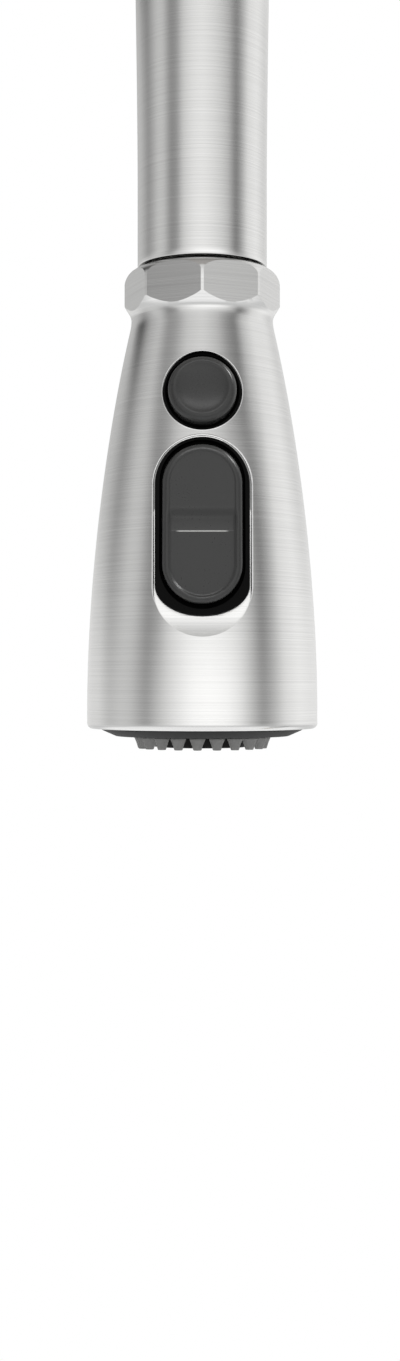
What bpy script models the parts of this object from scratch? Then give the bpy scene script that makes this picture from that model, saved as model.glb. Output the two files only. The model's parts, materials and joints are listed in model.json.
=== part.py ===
"""A pull-down kitchen faucet: body with a lever, swivelling gooseneck, and a docking spray head.

Units are metres, +Z is up, and the origin is the centre of the deck hole on the deck's top.
The spout reaches along -X, and the spray head's buttons and the lever face -Y. Each sub-part is one object.
"""

import math

import bmesh
import bpy
from mathutils import Matrix, Vector

MM = 0.001
FIT = 0.3 * MM  # the gap between pieces that touch, or that turn in each other
TURN = 2 * math.pi
WELD = 1e-6

# Sides of turned pieces. Pieces that fit together share a count.
FINE = 32
BORED = 28
ROUND = 20
SLIM = 14
SMALL = 8

# ---- Sizes of the spout
REACH = 210 * MM  # from the riser's axis to the spray head's axis
ARCH_Z = 350 * MM  # height of the arch's centre
DROP = 62 * MM  # straight run from the arch down to the seam
SPOUT_R = 15 * MM
TIP_R = 14.5 * MM  # the tube is drawn in towards the dock
TIP_LENGTH = 20 * MM  # parallel length at the drawn-in end
SPOUT_WALL = 1.2 * MM
SEAM_GAP = 0.55 * MM
ARCH_STEPS = 14
ARCH_R = REACH / 2
SEAM_Z = ARCH_Z - DROP

# ---- Spray head, heights from the seam ---------------------------------------------------------------
COLLAR_CORNER_R = 17.4 * MM
COLLAR_TOP = -3.3 * MM  # where the octagon's corners begin, under the upper chamfer
COLLAR_BOTTOM = -8.8 * MM
NECK_R = 15.9 * MM
NECK_Z = -11.8 * MM
BELL_TOP_R = 16.1 * MM
BELL_TOP = -14.3 * MM
BELL_TOP_FLARE = 0.234  # how fast the radius grows at the top of the bell
BELL_TOP_HANDLE = 19.2 * MM
BELL_FOOT_HANDLE = 33.4 * MM
BELL_R = 25.8 * MM
BELL_FOOT = -100 * MM
LIP = -103.3 * MM
LIP_ROUND = 1.1 * MM
SHELL_WALL = 2 * MM
COLLAR_BORE_R = 12.6 * MM
BELL_STEPS = 7

# The round button's axis is square to the bell where it sits.
BUTTON_Z = -30.4 * MM
BUTTON_R = 7.35 * MM
BUTTON_RING = 1.1 * MM  # from the button to the edge of its hole
BUTTON_HOLE_R = BUTTON_R + BUTTON_RING
BUTTON_TILT = math.radians(10.8)
BUTTON_PROUD = 1.8 * MM
CUP_DEPTH = 9.6 * MM  # leaves room for the spring and the button's 2 mm of travel
CUP_FLOOR = 1.2 * MM
STEM_R = 2.2 * MM

# The rocker sits in an obround bezel, and the bezel in a longer pocket with a flat floor.
ROCKER_R = 8.5 * MM
ROCKER_TOP_Z = -50.9 * MM  # centre of the upper round end, shared by rocker, bezel and pocket
ROCKER_LOW_Z = -67.5 * MM
ROCKER_FACE = 24.5 * MM  # from the head's axis to the rocker's face at mid length
ROCKER_LEAN = math.tan(math.radians(8.3))
ROCKER_BACK = 18.6 * MM
BEZEL_R = 10.15 * MM
BEZEL_LOW_Z = -69 * MM
BEZEL_FACE = 23 * MM
BEZEL_LEAN = 0.11
BEZEL_BACK = 17.4 * MM
ROCKER_SIDE_GAP = 0.6 * MM
ROCKER_END_GAP = 0.45 * MM  # added to the side gap at the round ends
POCKET_R = 10.5 * MM
POCKET_LOW_Z = -72.9 * MM
POCKET_FLOOR = 20.8 * MM
PIVOT_Y = 16 * MM  # from the head's axis to the rocker's pin
PIN_R = 1 * MM
SPOOL_R = 3.2 * MM
SPOOL_WAIST_R = 1.8 * MM
SPOOL_WAIST = 3.6 * MM
FINGER_TIP = 2.3 * MM  # from the head's axis to the end of the rocker's finger
FINGER_HEIGHT = 1.6 * MM

# Spray face
FACE_R = 22.1 * MM
FACE_PLANE = -105 * MM
FACE_EDGE_Z = -103.6 * MM
FACE_FLAT_R = 19.4 * MM
FACE_TOP = -94 * MM
FACE_GASKET = 2 * MM
FACE_FLOOR = 3 * MM
NOZZLES = 20
NOZZLE_RING_R = 13.6 * MM
NOZZLE_BASE_R = 1.73 * MM
NOZZLE_TIP_R = 1.05 * MM
NOZZLE_STEM_R = 1.1 * MM
NOZZLE_TIP_Z = -107.7 * MM
NOZZLE_PHASE = math.radians(-4.5)
AERATOR_R = 10 * MM
AERATOR_WALL = 1.4 * MM
AERATOR_FOOT = -107.5 * MM

# Inlet, dock and hose
SOCKET_R = 8.3 * MM
FITTING_FLANGE_R = 9.2 * MM
FERRULE_R = 7.6 * MM
HOSE_R = 6.2 * MM
CHECK_R = 5.9 * MM
SPIGOT_R = 12.9 * MM
SPIGOT_BORE_R = 9.8 * MM
SPIGOT_TOP = 4 * MM
MAGNET_HEIGHT = 3.2 * MM
DOCK_BORE_R = 10.2 * MM
FERRULE_TOP = 24 * MM
CORE_NECK_R = 7.2 * MM
CORE_R = 9.5 * MM
CORE_FLANGE_R = 21 * MM
CORE_FLANGE = 3.6 * MM
CORE_FOOT = FACE_TOP + FACE_GASKET + 2 * FIT

# ---- Body --------------------------------------------------------------------------------------------
BODY_TOP = 114 * MM
BODY_FOOT_R = 26.5 * MM
BODY_NECK_R = 18.3 * MM
BODY_NECK_Z = 100 * MM
BODY_COLLAR_R = 19.6 * MM
BODY_COLLAR_LOW = 103.5 * MM
BODY_COLLAR_HIGH = 110 * MM
BODY_BORE_R = 13.6 * MM
BODY_WEB = 44 * MM  # underside of the web that holds the tubes
SWIVEL_BORE_R = 16.6 * MM
SWIVEL_DEPTH = 36 * MM
BUSH_HEIGHT = 9 * MM
GASKET_R = 27 * MM
GASKET = 0.6 * MM
FLANGE_R = 27.5 * MM
FLANGE_TOP = 7.9 * MM

# Mounting under the deck
SHANK_R = 16.4 * MM
SHANK_BORE_R = 13.8 * MM
SHANK_INSIDE = 23.7 * MM
SHANK_END = -70 * MM
DECK_MAX = 40 * MM
WASHER_R = SHANK_R + 10.6 * MM
RUBBER = 3 * MM
STEEL = 2.5 * MM
NUT_HEIGHT = 12 * MM
NUT_R = SHANK_R + 9.6 * MM
JACK_AT = SHANK_R + 4.9 * MM
JACK_R = 2 * MM
JACK_HEAD_R = 4 * MM
JACK_END = -66 * MM
INLET_R = 3.2 * MM
INLET_AT = 10 * MM
INLET_TOP = 50 * MM
INLET_END = -88 * MM
TUBES = {"hot_inlet": (-INLET_AT, 0), "cold_inlet": (INLET_AT, 0), "valve_outlet": (0, -INLET_AT)}
HOSE_END = -108 * MM
COUPLING_R = 8.5 * MM
COUPLING_LENGTH = 16 * MM

# Valve, with distances out along -Y from the body's axis
VALVE_Z = 58 * MM
BOSS_R = 20.5 * MM
BOSS_END = 50 * MM
BOSS_BORE_R = 18.3 * MM
BOSS_FLOOR = 18 * MM
CARTRIDGE_R = 17.3 * MM
CARTRIDGE_BACK = 18.4 * MM
CARTRIDGE_FRONT = 43 * MM
DISC_BORE_R = 9.5 * MM
DISC_STEP = 30.8 * MM
FIXED_DISC_R = 9.1 * MM
FIXED_DISC = (22.6 * MM, 27 * MM)
MOVING_DISC_R = 6.3 * MM
MOVING_DISC = (27.3 * MM, 30.4 * MM)
CARRIER_R = 11.6 * MM
CARRIER_BORE_R = 7.3 * MM
CARRIER = (33 * MM, 42.4 * MM)
PIVOT = 44 * MM  # centre of the lever's tilt
STEM_REST = math.radians(11)  # the stem stands this far up when the water is off
STEM_TAIL = 13 * MM
STEM_WIDTH = 6 * MM
STEM_OUT = 25 * MM
DOME_R = 20.2 * MM
DOME_WALL = 1.5 * MM
DOME_HOLE_R = 8.8 * MM
HUB_R = 24 * MM
HUB_ANGLE = math.radians(54)
HUB_GAP = 0.6 * MM
LEVER_LENGTH = 92 * MM
LEVER_LEAN = math.radians(17)


# The blade's sections: share of its length, half width and half thickness in mm.
BLADE = (
    (0.0, 7.5, 4.6),
    (0.12, 6.6, 4.2),
    (0.4, 5.6, 3.4),
    (0.75, 5.9, 2.8),
    (0.95, 6.0, 2.5),
    (1.0, 4.6, 1.5),
)

# ---- Tools -------------------------------------------------------------------------------------------
def material(name, colour, roughness, metallic):
    """A Principled material with one colour."""
    made = bpy.data.materials.new(name)
    made.use_nodes = True
    shader = made.node_tree.nodes["Principled BSDF"]
    shader.inputs["Base Color"].default_value = (*colour, 1)
    shader.inputs["Roughness"].default_value = roughness
    shader.inputs["Metallic"].default_value = metallic
    made.diffuse_color = (*colour, 1)
    return made


def frame(name, location, parent=None, tilt=0.0):
    """An empty that carries pieces. A tilt turns it about its X axis."""
    made = bpy.data.objects.new(name, None)
    bpy.context.scene.collection.objects.link(made)
    made.location = location
    made.rotation_euler.x = tilt
    made.parent = parent
    return made


def add(name, shape, look, parent, location=(0, 0, 0), smooth=35):
    """Links a bmesh as one object with its material."""
    bmesh.ops.remove_doubles(shape, verts=shape.verts, dist=WELD)
    bmesh.ops.recalc_face_normals(shape, faces=shape.faces)
    mesh = bpy.data.meshes.new(name)
    shape.to_mesh(mesh)
    shape.free()
    mesh.shade_smooth()
    mesh.set_sharp_from_angle(angle=math.radians(smooth))
    mesh.materials.append(look)
    made = bpy.data.objects.new(name, mesh)
    bpy.context.scene.collection.objects.link(made)
    made.parent = parent
    made.location = location
    return made


def spun(outline, steps):
    """A closed outline of (radius, height) points turned about Z. Points at radius 0 are poles."""
    shape = bmesh.new()
    points = [shape.verts.new((radius, 0, height)) for radius, height in outline]
    for start, end in zip(points, points[1:] + points[:1]):
        if start.co.x > WELD or end.co.x > WELD:
            shape.edges.new((start, end))
    bmesh.ops.spin(
        shape,
        geom=shape.verts[:] + shape.edges[:],
        cent=(0, 0, 0),
        axis=(0, 0, 1),
        angle=TURN,
        steps=steps,
        use_merge=True,
    )
    return shape


def turned(name, outline, steps, look, parent, location=(0, 0, 0)):
    return add(name, spun(outline, steps), look, parent, location)


def ring(inner, outer, low, high):
    return [(inner, low), (outer, low), (outer, high), (inner, high)]


def rod(radius, low, high):
    return [(0, low), (radius, low), (radius, high), (0, high)]


def chamfered_ring(inner, outer, low, high, chamfer):
    """A ring whose outer edges are broken."""
    return [
        (inner, low),
        (outer - chamfer, low),
        (outer, low + chamfer),
        (outer, high - chamfer),
        (outer - chamfer, high),
        (inner, high),
    ]


def o_ring(name, radius, wire, height, steps, look, parent):
    loop = [
        (radius + wire * math.cos(turn), height + wire * math.sin(turn))
        for turn in (TURN * step / 6 for step in range(6))
    ]
    return turned(name, loop, steps, look, parent)


def box(x, y, z):
    """A bmesh box from three (low, high) pairs."""
    shape = bmesh.new()
    bmesh.ops.create_cube(shape, size=1)
    size = Vector((x[1] - x[0], y[1] - y[0], z[1] - z[0]))
    middle = Vector((sum(x), sum(y), sum(z))) / 2
    bmesh.ops.scale(shape, verts=shape.verts, vec=size)
    bmesh.ops.translate(shape, verts=shape.verts, vec=middle)
    return shape


def obround(radius, top, low, near, far, steps=8):
    """An upright obround bar from y = -near to y = -far, its round ends centred at top and low."""
    shape = bmesh.new()
    outline = []
    for centre, start in ((top, 0.0), (low, math.pi)):
        for step in range(steps + 1):
            turn = start + math.pi * step / steps
            outline.append((radius * math.cos(turn), centre + radius * math.sin(turn)))
    back = [shape.verts.new((x, -near, z)) for x, z in outline]
    made = bmesh.ops.extrude_face_region(shape, geom=[shape.faces.new(back)])
    front = [item for item in made["geom"] if isinstance(item, bmesh.types.BMVert)]
    bmesh.ops.translate(shape, verts=front, vec=(0, near - far, 0))
    return shape


def laid(shape, axis):
    """A shape made along Z, given a quarter turn about X or Y."""
    bmesh.ops.rotate(shape, verts=shape.verts, cent=(0, 0, 0), matrix=Matrix.Rotation(TURN / 4, 3, axis))
    return shape


def cutter(shape, parent, location=(0, 0, 0)):
    """A helper for a Boolean, which isn't a piece."""
    made = add("cutter", shape, LOOKS["helper"], parent, location)
    made.hide_render = True
    made.display_type = "WIRE"
    return made


def boolean(target, tool, operation):
    step = target.modifiers.new(operation.lower(), "BOOLEAN")
    step.operation = operation
    step.solver = "EXACT"
    step.object = tool


def cut(target, shape, parent=None, location=(0, 0, 0)):
    tool = cutter(shape, parent or target.parent, location)
    boolean(target, tool, "DIFFERENCE")
    return tool


def join(target, shape, parent=None, location=(0, 0, 0)):
    tool = cutter(shape, parent or target.parent, location)
    boolean(target, tool, "UNION")
    return tool


def bezier(start, start_handle, end_handle, end, steps):
    """Points of a cubic curve from start to end, both included."""
    curve = []
    for step in range(steps + 1):
        t = step / steps
        u = 1 - t
        curve.append(
            tuple(
                u**3 * a + 3 * u * u * t * b + 3 * u * t * t * c + t**3 * d
                for a, b, c, d in zip(start, start_handle, end_handle, end)
            )
        )
    return curve


def weld(target):
    """Joins a curve's caps to its wall."""
    step = target.modifiers.new("weld", "WELD")
    step.merge_threshold = WELD


def coil(name, radius, wire, low, high, turns, look, parent, location=(0, 0, 0)):
    """A compression spring about Z, as a bevelled helix."""
    per_turn = 8
    count = turns * per_turn
    data = bpy.data.curves.new(name, "CURVE")
    data.dimensions = "3D"
    data.bevel_depth = wire
    data.bevel_resolution = 0
    data.use_fill_caps = True
    data.materials.append(look)
    line = data.splines.new("POLY")
    line.points.add(count)
    for step, point in enumerate(line.points):
        turn = TURN * step / per_turn
        height = low + wire + (high - low - 2 * wire) * step / count
        point.co = (radius * math.cos(turn), radius * math.sin(turn), height, 1)
    made = bpy.data.objects.new(name, data)
    bpy.context.scene.collection.objects.link(made)
    made.parent = parent
    made.location = location
    weld(made)
    return made


def swept(name, points, radii, sides, look, parent, capped):
    """A curve with a round section along points, each with its own radius."""
    data = bpy.data.curves.new(name, "CURVE")
    data.dimensions = "3D"
    data.bevel_depth = radii[0]
    data.bevel_resolution = (sides - 4) // 2
    data.use_fill_caps = capped
    data.materials.append(look)
    line = data.splines.new("POLY")
    line.points.add(len(points) - 1)
    for point, place, radius in zip(line.points, points, radii):
        point.co = (*place, 1)
        point.radius = radius / radii[0]
    made = bpy.data.objects.new(name, data)
    bpy.context.scene.collection.objects.link(made)
    made.parent = parent
    weld(made)
    return made


# ---- Spray head --------------------------------------------------------------------------------------
def bell_curve(inset=0.0):
    """The bell's outline from its top to its foot, moved inwards by inset."""
    top = (BELL_TOP_R, BELL_TOP)
    handle = (BELL_TOP_R + BELL_TOP_FLARE * BELL_TOP_HANDLE, BELL_TOP - BELL_TOP_HANDLE)
    curve = bezier(top, handle, (BELL_R, BELL_FOOT + BELL_FOOT_HANDLE), (BELL_R, BELL_FOOT), BELL_STEPS)
    return [(radius - inset, height) for radius, height in curve]


def bell_radius(height):
    """The bell's outer radius at a height, between the points of its outline."""
    curve = bell_curve()
    for (upper_r, upper), (lower_r, lower) in zip(curve, curve[1:]):
        if lower <= height <= upper:
            return upper_r + (lower_r - upper_r) * (upper - height) / (upper - lower)
    raise ValueError(f"height {height} is off the bell")


def shell_outline():
    """The turned blank: chamfered collar, neck and bell, with its poles on the axis."""
    shoulder = [
        (TIP_R, 0),
        (TIP_R + 1.35 * MM, COLLAR_TOP * 0.28),
        (COLLAR_CORNER_R - 0.3 * MM, COLLAR_TOP * 0.7),
        (COLLAR_CORNER_R + 0.2 * MM, COLLAR_TOP),
        (COLLAR_CORNER_R + 0.2 * MM, COLLAR_BOTTOM),
        (COLLAR_CORNER_R - 0.5 * MM, COLLAR_BOTTOM - 1.1 * MM),
        (NECK_R, NECK_Z),
    ]
    corner = LIP_ROUND * 0.3
    lip = [(BELL_R, LIP + LIP_ROUND), (BELL_R - corner, LIP + corner), (BELL_R - LIP_ROUND, LIP)]
    return [(0, 0)] + shoulder + bell_curve() + lip + [(0, LIP)]


def flats(outer, corner_radius, low, high):
    """What is milled off a turned collar to leave its octagon, with a corner facing -Y."""
    return spun(ring(corner_radius, outer, low, high), 8)


def make_head_shell(head):
    shell = turned("head_shell", shell_outline(), FINE, LOOKS["steel"], head)
    cut(shell, flats(COLLAR_CORNER_R * 1.3, COLLAR_CORNER_R, NECK_Z, TIP_R * 0.1))
    floor = FACE_TOP
    inside = [(0, 2 * MM), (COLLAR_BORE_R, 2 * MM), (COLLAR_BORE_R, BELL_TOP)]
    inside += [point for point in bell_curve(SHELL_WALL) if floor < point[1] < BELL_TOP - SHELL_WALL]
    inside += [(BELL_R - SHELL_WALL, floor), (FACE_R + FIT, floor)]
    inside += [(FACE_R + FIT, LIP - 2 * MM), (0, LIP - 2 * MM)]
    cavity = cut(shell, spun(inside, BORED))
    # The pocket's floor is a flat pad left standing inside the wall.
    pad = box(
        (-POCKET_R - 1.5 * MM, POCKET_R + 1.5 * MM),
        (-BELL_R, -POCKET_FLOOR + SHELL_WALL),
        (POCKET_LOW_Z - POCKET_R - SHELL_WALL, POCKET_LOW_Z + POCKET_R / 2),
    )
    cut(cavity, pad, head)
    cut(shell, obround(POCKET_R, ROCKER_TOP_Z, POCKET_LOW_Z, POCKET_FLOOR, BELL_R + 5 * MM))
    cut(shell, obround(BEZEL_R + FIT, ROCKER_TOP_Z, BEZEL_LOW_Z, BELL_TOP_R / 2, BELL_R + 5 * MM))
    return shell


def make_round_button(head, shell):
    """The round button, its spring and the cup that guides it, all about a tilted axis."""
    seat = frame("button_frame", (0, -bell_radius(BUTTON_Z), BUTTON_Z), head, math.pi / 2 - BUTTON_TILT)
    cut(shell, spun(rod(BUTTON_HOLE_R, -CUP_DEPTH - 2 * MM, CUP_DEPTH), ROUND), seat)
    cup_r = BUTTON_HOLE_R - FIT
    cup = [
        (STEM_R + FIT, -CUP_DEPTH),
        (cup_r, -CUP_DEPTH),
        (cup_r, -0.6 * MM),
        (BUTTON_R + FIT, -0.6 * MM),
        (BUTTON_R + FIT, -CUP_DEPTH + CUP_FLOOR),
        (STEM_R + FIT, -CUP_DEPTH + CUP_FLOOR),
    ]
    turned("button_cup", cup, ROUND, LOOKS["black"], seat)
    back = -4.2 * MM
    cap = [
        (0, -CUP_DEPTH - 0.4 * MM),
        (STEM_R, -CUP_DEPTH - 0.4 * MM),
        (STEM_R, back),
        (BUTTON_R, back),
        (BUTTON_R, BUTTON_PROUD - 0.9 * MM),
        (BUTTON_R - 0.3 * MM, BUTTON_PROUD - 0.3 * MM),
        (BUTTON_R - 1 * MM, BUTTON_PROUD),
        (BUTTON_R - 1.9 * MM, BUTTON_PROUD - 0.15 * MM),
        (0, BUTTON_PROUD - 0.8 * MM),
    ]
    turned("round_button", cap, ROUND, LOOKS["grey"], seat)
    low = -CUP_DEPTH + CUP_FLOOR + FIT
    coil("button_spring", STEM_R + 1.3 * MM, 0.35 * MM, low, back - FIT, 4, LOOKS["spring"], seat)
    return seat


def leaning(shape, far, mean, lean, middle):
    """Moves the vertices of the front face, at y = -far, onto a plane that leans with height."""
    for vert in shape.verts:
        if abs(vert.co.y + far) < WELD:
            vert.co.y = -(mean + lean * (middle - vert.co.z))


def make_rocker(head, core):
    """The rocker, its bezel and pin, and the spool that the rocker's finger shifts."""
    middle = (ROCKER_TOP_Z + ROCKER_LOW_Z) / 2
    bezel_shape = obround(BEZEL_R, ROCKER_TOP_Z, BEZEL_LOW_Z, BEZEL_BACK, BELL_R)
    leaning(bezel_shape, BELL_R, BEZEL_FACE, BEZEL_LEAN, middle)
    bezel = add("rocker_bezel", bezel_shape, LOOKS["black"], head)
    well_top, well_low = ROCKER_TOP_Z + ROCKER_END_GAP, ROCKER_LOW_Z - ROCKER_END_GAP
    cut(bezel, obround(ROCKER_R + ROCKER_SIDE_GAP, well_top, well_low, BEZEL_BACK / 2, BELL_R * 1.3))

    pivot = frame("rocker_frame", (0, -PIVOT_Y, middle), head)
    top, low = ROCKER_TOP_Z - middle, ROCKER_LOW_Z - middle
    near, far = ROCKER_BACK - PIVOT_Y, BELL_R
    cap = obround(ROCKER_R, top, low, near, far)
    leaning(cap, far, ROCKER_FACE - PIVOT_Y, ROCKER_LEAN, 0)
    rocker = add("rocker_button", cap, LOOKS["grey"], pivot)
    lug = box((-2.5 * MM, 2.5 * MM), (-near - 1 * MM, 2.4 * MM), (-2.8 * MM, 2.8 * MM))
    join(rocker, lug)
    finger_end = PIVOT_Y - FINGER_TIP
    finger = box((-1.2 * MM, 1.2 * MM), (1 * MM, finger_end), (-FINGER_HEIGHT / 2, FINGER_HEIGHT / 2))
    join(rocker, finger)
    # A soft groove across the face marks where the two pads meet.
    groove_r = 6 * MM
    groove = laid(spun(rod(groove_r, -BELL_R, BELL_R), BORED), "Y")
    face = ROCKER_FACE - PIVOT_Y
    cut(rocker, groove, location=(0, -face - groove_r + 1.1 * MM, 1.6 * MM))
    cut(rocker, laid(spun(rod(PIN_R + FIT, -BELL_R, BELL_R), SMALL), "Y"))

    add("rocker_pin", laid(spun(rod(PIN_R, -7.6 * MM, 7.6 * MM), SMALL), "Y"), LOOKS["pin"], pivot)

    # Two ears on the core hold the pin.
    for side in (-1, 1):
        inner, outer = sorted((side * 3.2 * MM, side * 8.2 * MM))
        ear = box((inner, outer), (-2.4 * MM, PIVOT_Y - 4 * MM), (-2.4 * MM, 2.4 * MM))
        join(core, ear, pivot)
    cut(core, laid(spun(rod(PIN_R + FIT, -BELL_R, BELL_R), SMALL), "Y"), pivot)
    slot = box((-2 * MM, 2 * MM), (3.4 * MM, PIVOT_Y), (-3.6 * MM, 3.6 * MM))
    cut(core, slot, pivot)

    waist = SPOOL_WAIST / 2
    spool = [
        (0, -15 * MM),
        (SPOOL_R, -15 * MM),
        (SPOOL_R, -11 * MM),
        (SPOOL_WAIST_R, -11 * MM),
        (SPOOL_WAIST_R, -8 * MM),
        (SPOOL_R, -8 * MM),
        (SPOOL_R, -waist),
        (SPOOL_WAIST_R, -waist),
        (SPOOL_WAIST_R, waist),
        (SPOOL_R, waist),
        (SPOOL_R, 12 * MM),
        (0, 12 * MM),
    ]
    turned("diverter_spool", spool, SMALL, LOOKS["plastic"], head, (0, 0, middle))


def make_core(head):
    """The plastic waterway: hose socket, check-valve bore, spool bore and the flange that holds the face."""
    socket_floor = -10 * MM
    check_floor = -36 * MM
    spool_top = -42 * MM
    flange_high = CORE_FOOT + CORE_FLANGE
    outline = [
        (SOCKET_R, -FIT),
        (SOCKET_R, socket_floor),
        (CHECK_R + FIT, socket_floor),
        (CHECK_R + FIT, check_floor),
        (SPOOL_R - 1 * MM, check_floor),
        (SPOOL_R - 1 * MM, spool_top),
        (SPOOL_R + FIT, spool_top),
        (SPOOL_R + FIT, CORE_FOOT),
        (CORE_FLANGE_R, CORE_FOOT),
        (CORE_FLANGE_R, flange_high),
        (CORE_R, flange_high),
        (CORE_R, spool_top),
        (CORE_NECK_R, spool_top + 1 * MM),
        (CORE_NECK_R, BELL_TOP + 1 * MM),
        (COLLAR_BORE_R - FIT, NECK_Z),
        (COLLAR_BORE_R - FIT, -FIT),
    ]
    return turned("waterway_core", outline, SLIM, LOOKS["plastic"], head)


def make_inlet(head):
    """The screen, check valve and seals between hose and core."""
    screen = turned("inlet_screen", rod(SOCKET_R - FIT, -9.7 * MM, -8.9 * MM), SLIM, LOOKS["filter"], head)
    holes = bmesh.new()
    for turn in range(6):
        x, y = 4.6 * MM * math.cos(TURN * turn / 6), 4.6 * MM * math.sin(TURN * turn / 6)
        hole = spun(rod(1.3 * MM, -12 * MM, -6 * MM), 6)
        bmesh.ops.translate(hole, verts=hole.verts, vec=(x, y, 0))
        merge(holes, hole)
    cut(screen, holes)
    top, low, foot = -11 * MM, -30 * MM, -27.6 * MM
    housing = [
        (2.8 * MM, top),
        (2.8 * MM, top - 1.5 * MM),
        (4.6 * MM, top - 1.8 * MM),
        (4.6 * MM, foot),
        (1.4 * MM, foot),
        (1.4 * MM, low),
        (CHECK_R, low),
        (CHECK_R, top),
    ]
    body = turned("check_valve_housing", housing, SLIM, LOOKS["filter"], head)
    ports = bmesh.new()
    for turn in range(4):
        x, y = 3 * MM * math.cos(TURN * turn / 4), 3 * MM * math.sin(TURN * turn / 4)
        port = spun(rod(0.9 * MM, low - 2 * MM, foot + 2 * MM), 6)
        bmesh.ops.translate(port, verts=port.verts, vec=(x, y, 0))
        merge(ports, port)
    cut(body, ports)
    seat = top - 2.2 * MM
    poppet = [
        (0, -31 * MM),
        (1 * MM, -31 * MM),
        (1 * MM, seat - 1.6 * MM),
        (3.9 * MM, seat - 1.6 * MM),
        (3.9 * MM, seat - 0.4 * MM),
        (3.4 * MM, seat),
        (0, seat),
    ]
    turned("check_poppet", poppet, SMALL, LOOKS["plastic"], head)
    coil("check_spring", 2.3 * MM, 0.25 * MM, foot + FIT, seat - 1.6 * MM - FIT, 5, LOOKS["spring"], head)
    o_ring("inlet_o_ring", 7.4 * MM, 0.6 * MM, -5 * MM, SLIM, LOOKS["rubber"], head)


def merge(target, source):
    """Adds source's geometry to target and frees it."""
    mesh = bpy.data.meshes.new("merge")
    source.to_mesh(mesh)
    source.free()
    target.from_mesh(mesh)
    bpy.data.meshes.remove(mesh)


def around_nozzles(outline, steps):
    """One spun outline at each nozzle's place."""
    shape = bmesh.new()
    for place in range(NOZZLES):
        turn = NOZZLE_PHASE + TURN * place / NOZZLES
        one = spun(outline, steps)
        where = (NOZZLE_RING_R * math.sin(turn), -NOZZLE_RING_R * math.cos(turn), 0)
        bmesh.ops.translate(one, verts=one.verts, vec=where)
        merge(shape, one)
    bmesh.ops.recalc_face_normals(shape, faces=shape.faces)
    return shape


def make_face(head):
    """The black face, the silicone nozzles that come through it, and the aerator in its middle."""
    hole_r = AERATOR_R + FIT
    groove_z = FACE_TOP - 4 * MM
    outline = [
        (hole_r, FACE_PLANE),
        (FACE_FLAT_R, FACE_PLANE),
        (FACE_R, FACE_EDGE_Z),
        (FACE_R, groove_z - 1.2 * MM),
        (FACE_R - 1.6 * MM, groove_z - 1.2 * MM),
        (FACE_R - 1.6 * MM, groove_z + 1.2 * MM),
        (FACE_R, groove_z + 1.2 * MM),
        (FACE_R, FACE_TOP),
        (FACE_R - 4 * MM, FACE_TOP),
        (FACE_R - 4 * MM, FACE_PLANE + FACE_FLOOR),
        (hole_r, FACE_PLANE + FACE_FLOOR),
    ]
    face = turned("spray_face", outline, BORED, LOOKS["face"], head)
    stem_hole = rod(NOZZLE_STEM_R + FIT, FACE_PLANE - 2 * MM, FACE_PLANE + FACE_FLOOR + 2 * MM)
    cut(face, around_nozzles(stem_hole, 6))
    o_ring("face_o_ring", FACE_R - 0.6 * MM, 0.7 * MM, groove_z, BORED, LOOKS["rubber"], head)

    plate_low = FACE_PLANE + FACE_FLOOR + FIT
    plate = ring(hole_r, FACE_R - 4.4 * MM, plate_low, plate_low + 1.4 * MM)
    nozzles = turned("nozzle_ring", plate, BORED, LOOKS["silicone"], head)
    base = FACE_PLANE - FIT
    nozzle = [
        (0, NOZZLE_TIP_Z),
        (NOZZLE_TIP_R, NOZZLE_TIP_Z),
        (NOZZLE_BASE_R, base),
        (NOZZLE_STEM_R, base),
        (NOZZLE_STEM_R, plate_low + 0.7 * MM),
        (0, plate_low + 0.7 * MM),
    ]
    join(nozzles, around_nozzles(nozzle, 6))

    inner = AERATOR_R - AERATOR_WALL
    ledge = AERATOR_FOOT + 2 * MM
    housing = [
        (inner - 1 * MM, AERATOR_FOOT),
        (AERATOR_R - 0.4 * MM, AERATOR_FOOT),
        (AERATOR_R, AERATOR_FOOT + 0.4 * MM),
        (AERATOR_R, FACE_TOP),
        (inner, FACE_TOP),
        (inner, ledge),
        (inner - 1 * MM, ledge),
    ]
    turned("aerator_housing", housing, ROUND, LOOKS["face"], head)
    turned("aerator_insert", rod(inner - FIT, ledge + FIT, ledge + 7 * MM), ROUND, LOOKS["filter"], head)
    backing = FACE_TOP + FIT
    outline = ring(SPOOL_R + 2 * MM, CORE_FLANGE_R, backing, backing + FACE_GASKET)
    turned("face_gasket", outline, SLIM, LOOKS["rubber"], head)


def make_dock(head, spout_dock):
    """The magnetic dock: black spigot and magnet on the head, guide and magnet in the spout's end."""
    spigot = [
        (SPIGOT_BORE_R, FIT),
        (SPIGOT_R, FIT),
        (SPIGOT_R, SPIGOT_TOP - 1 * MM),
        (SPIGOT_R - 1 * MM, SPIGOT_TOP),
        (SPIGOT_BORE_R, SPIGOT_TOP),
    ]
    turned("dock_spigot", spigot, ROUND, LOOKS["black"], head)
    low = SPIGOT_TOP + FIT
    magnet = chamfered_ring(SPIGOT_BORE_R, SPIGOT_R - FIT, low, low + MAGNET_HEIGHT, 0.4 * MM)
    turned("head_magnet", magnet, ROUND, LOOKS["magnet"], head)
    low += MAGNET_HEIGHT + 0.8 * MM
    bore = TIP_R - SPOUT_WALL - FIT
    magnet = ring(DOCK_BORE_R, bore, low, low + MAGNET_HEIGHT)
    turned("dock_magnet", magnet, ROUND, LOOKS["magnet"], spout_dock)
    low += MAGNET_HEIGHT + FIT
    guide = [
        (DOCK_BORE_R, low),
        (bore, low),
        (bore, low + 8 * MM),
        (DOCK_BORE_R + 1.6 * MM, low + 8 * MM),
        (DOCK_BORE_R, low + 5 * MM),
    ]
    turned("dock_guide", guide, ROUND, LOOKS["black"], spout_dock)


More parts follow.
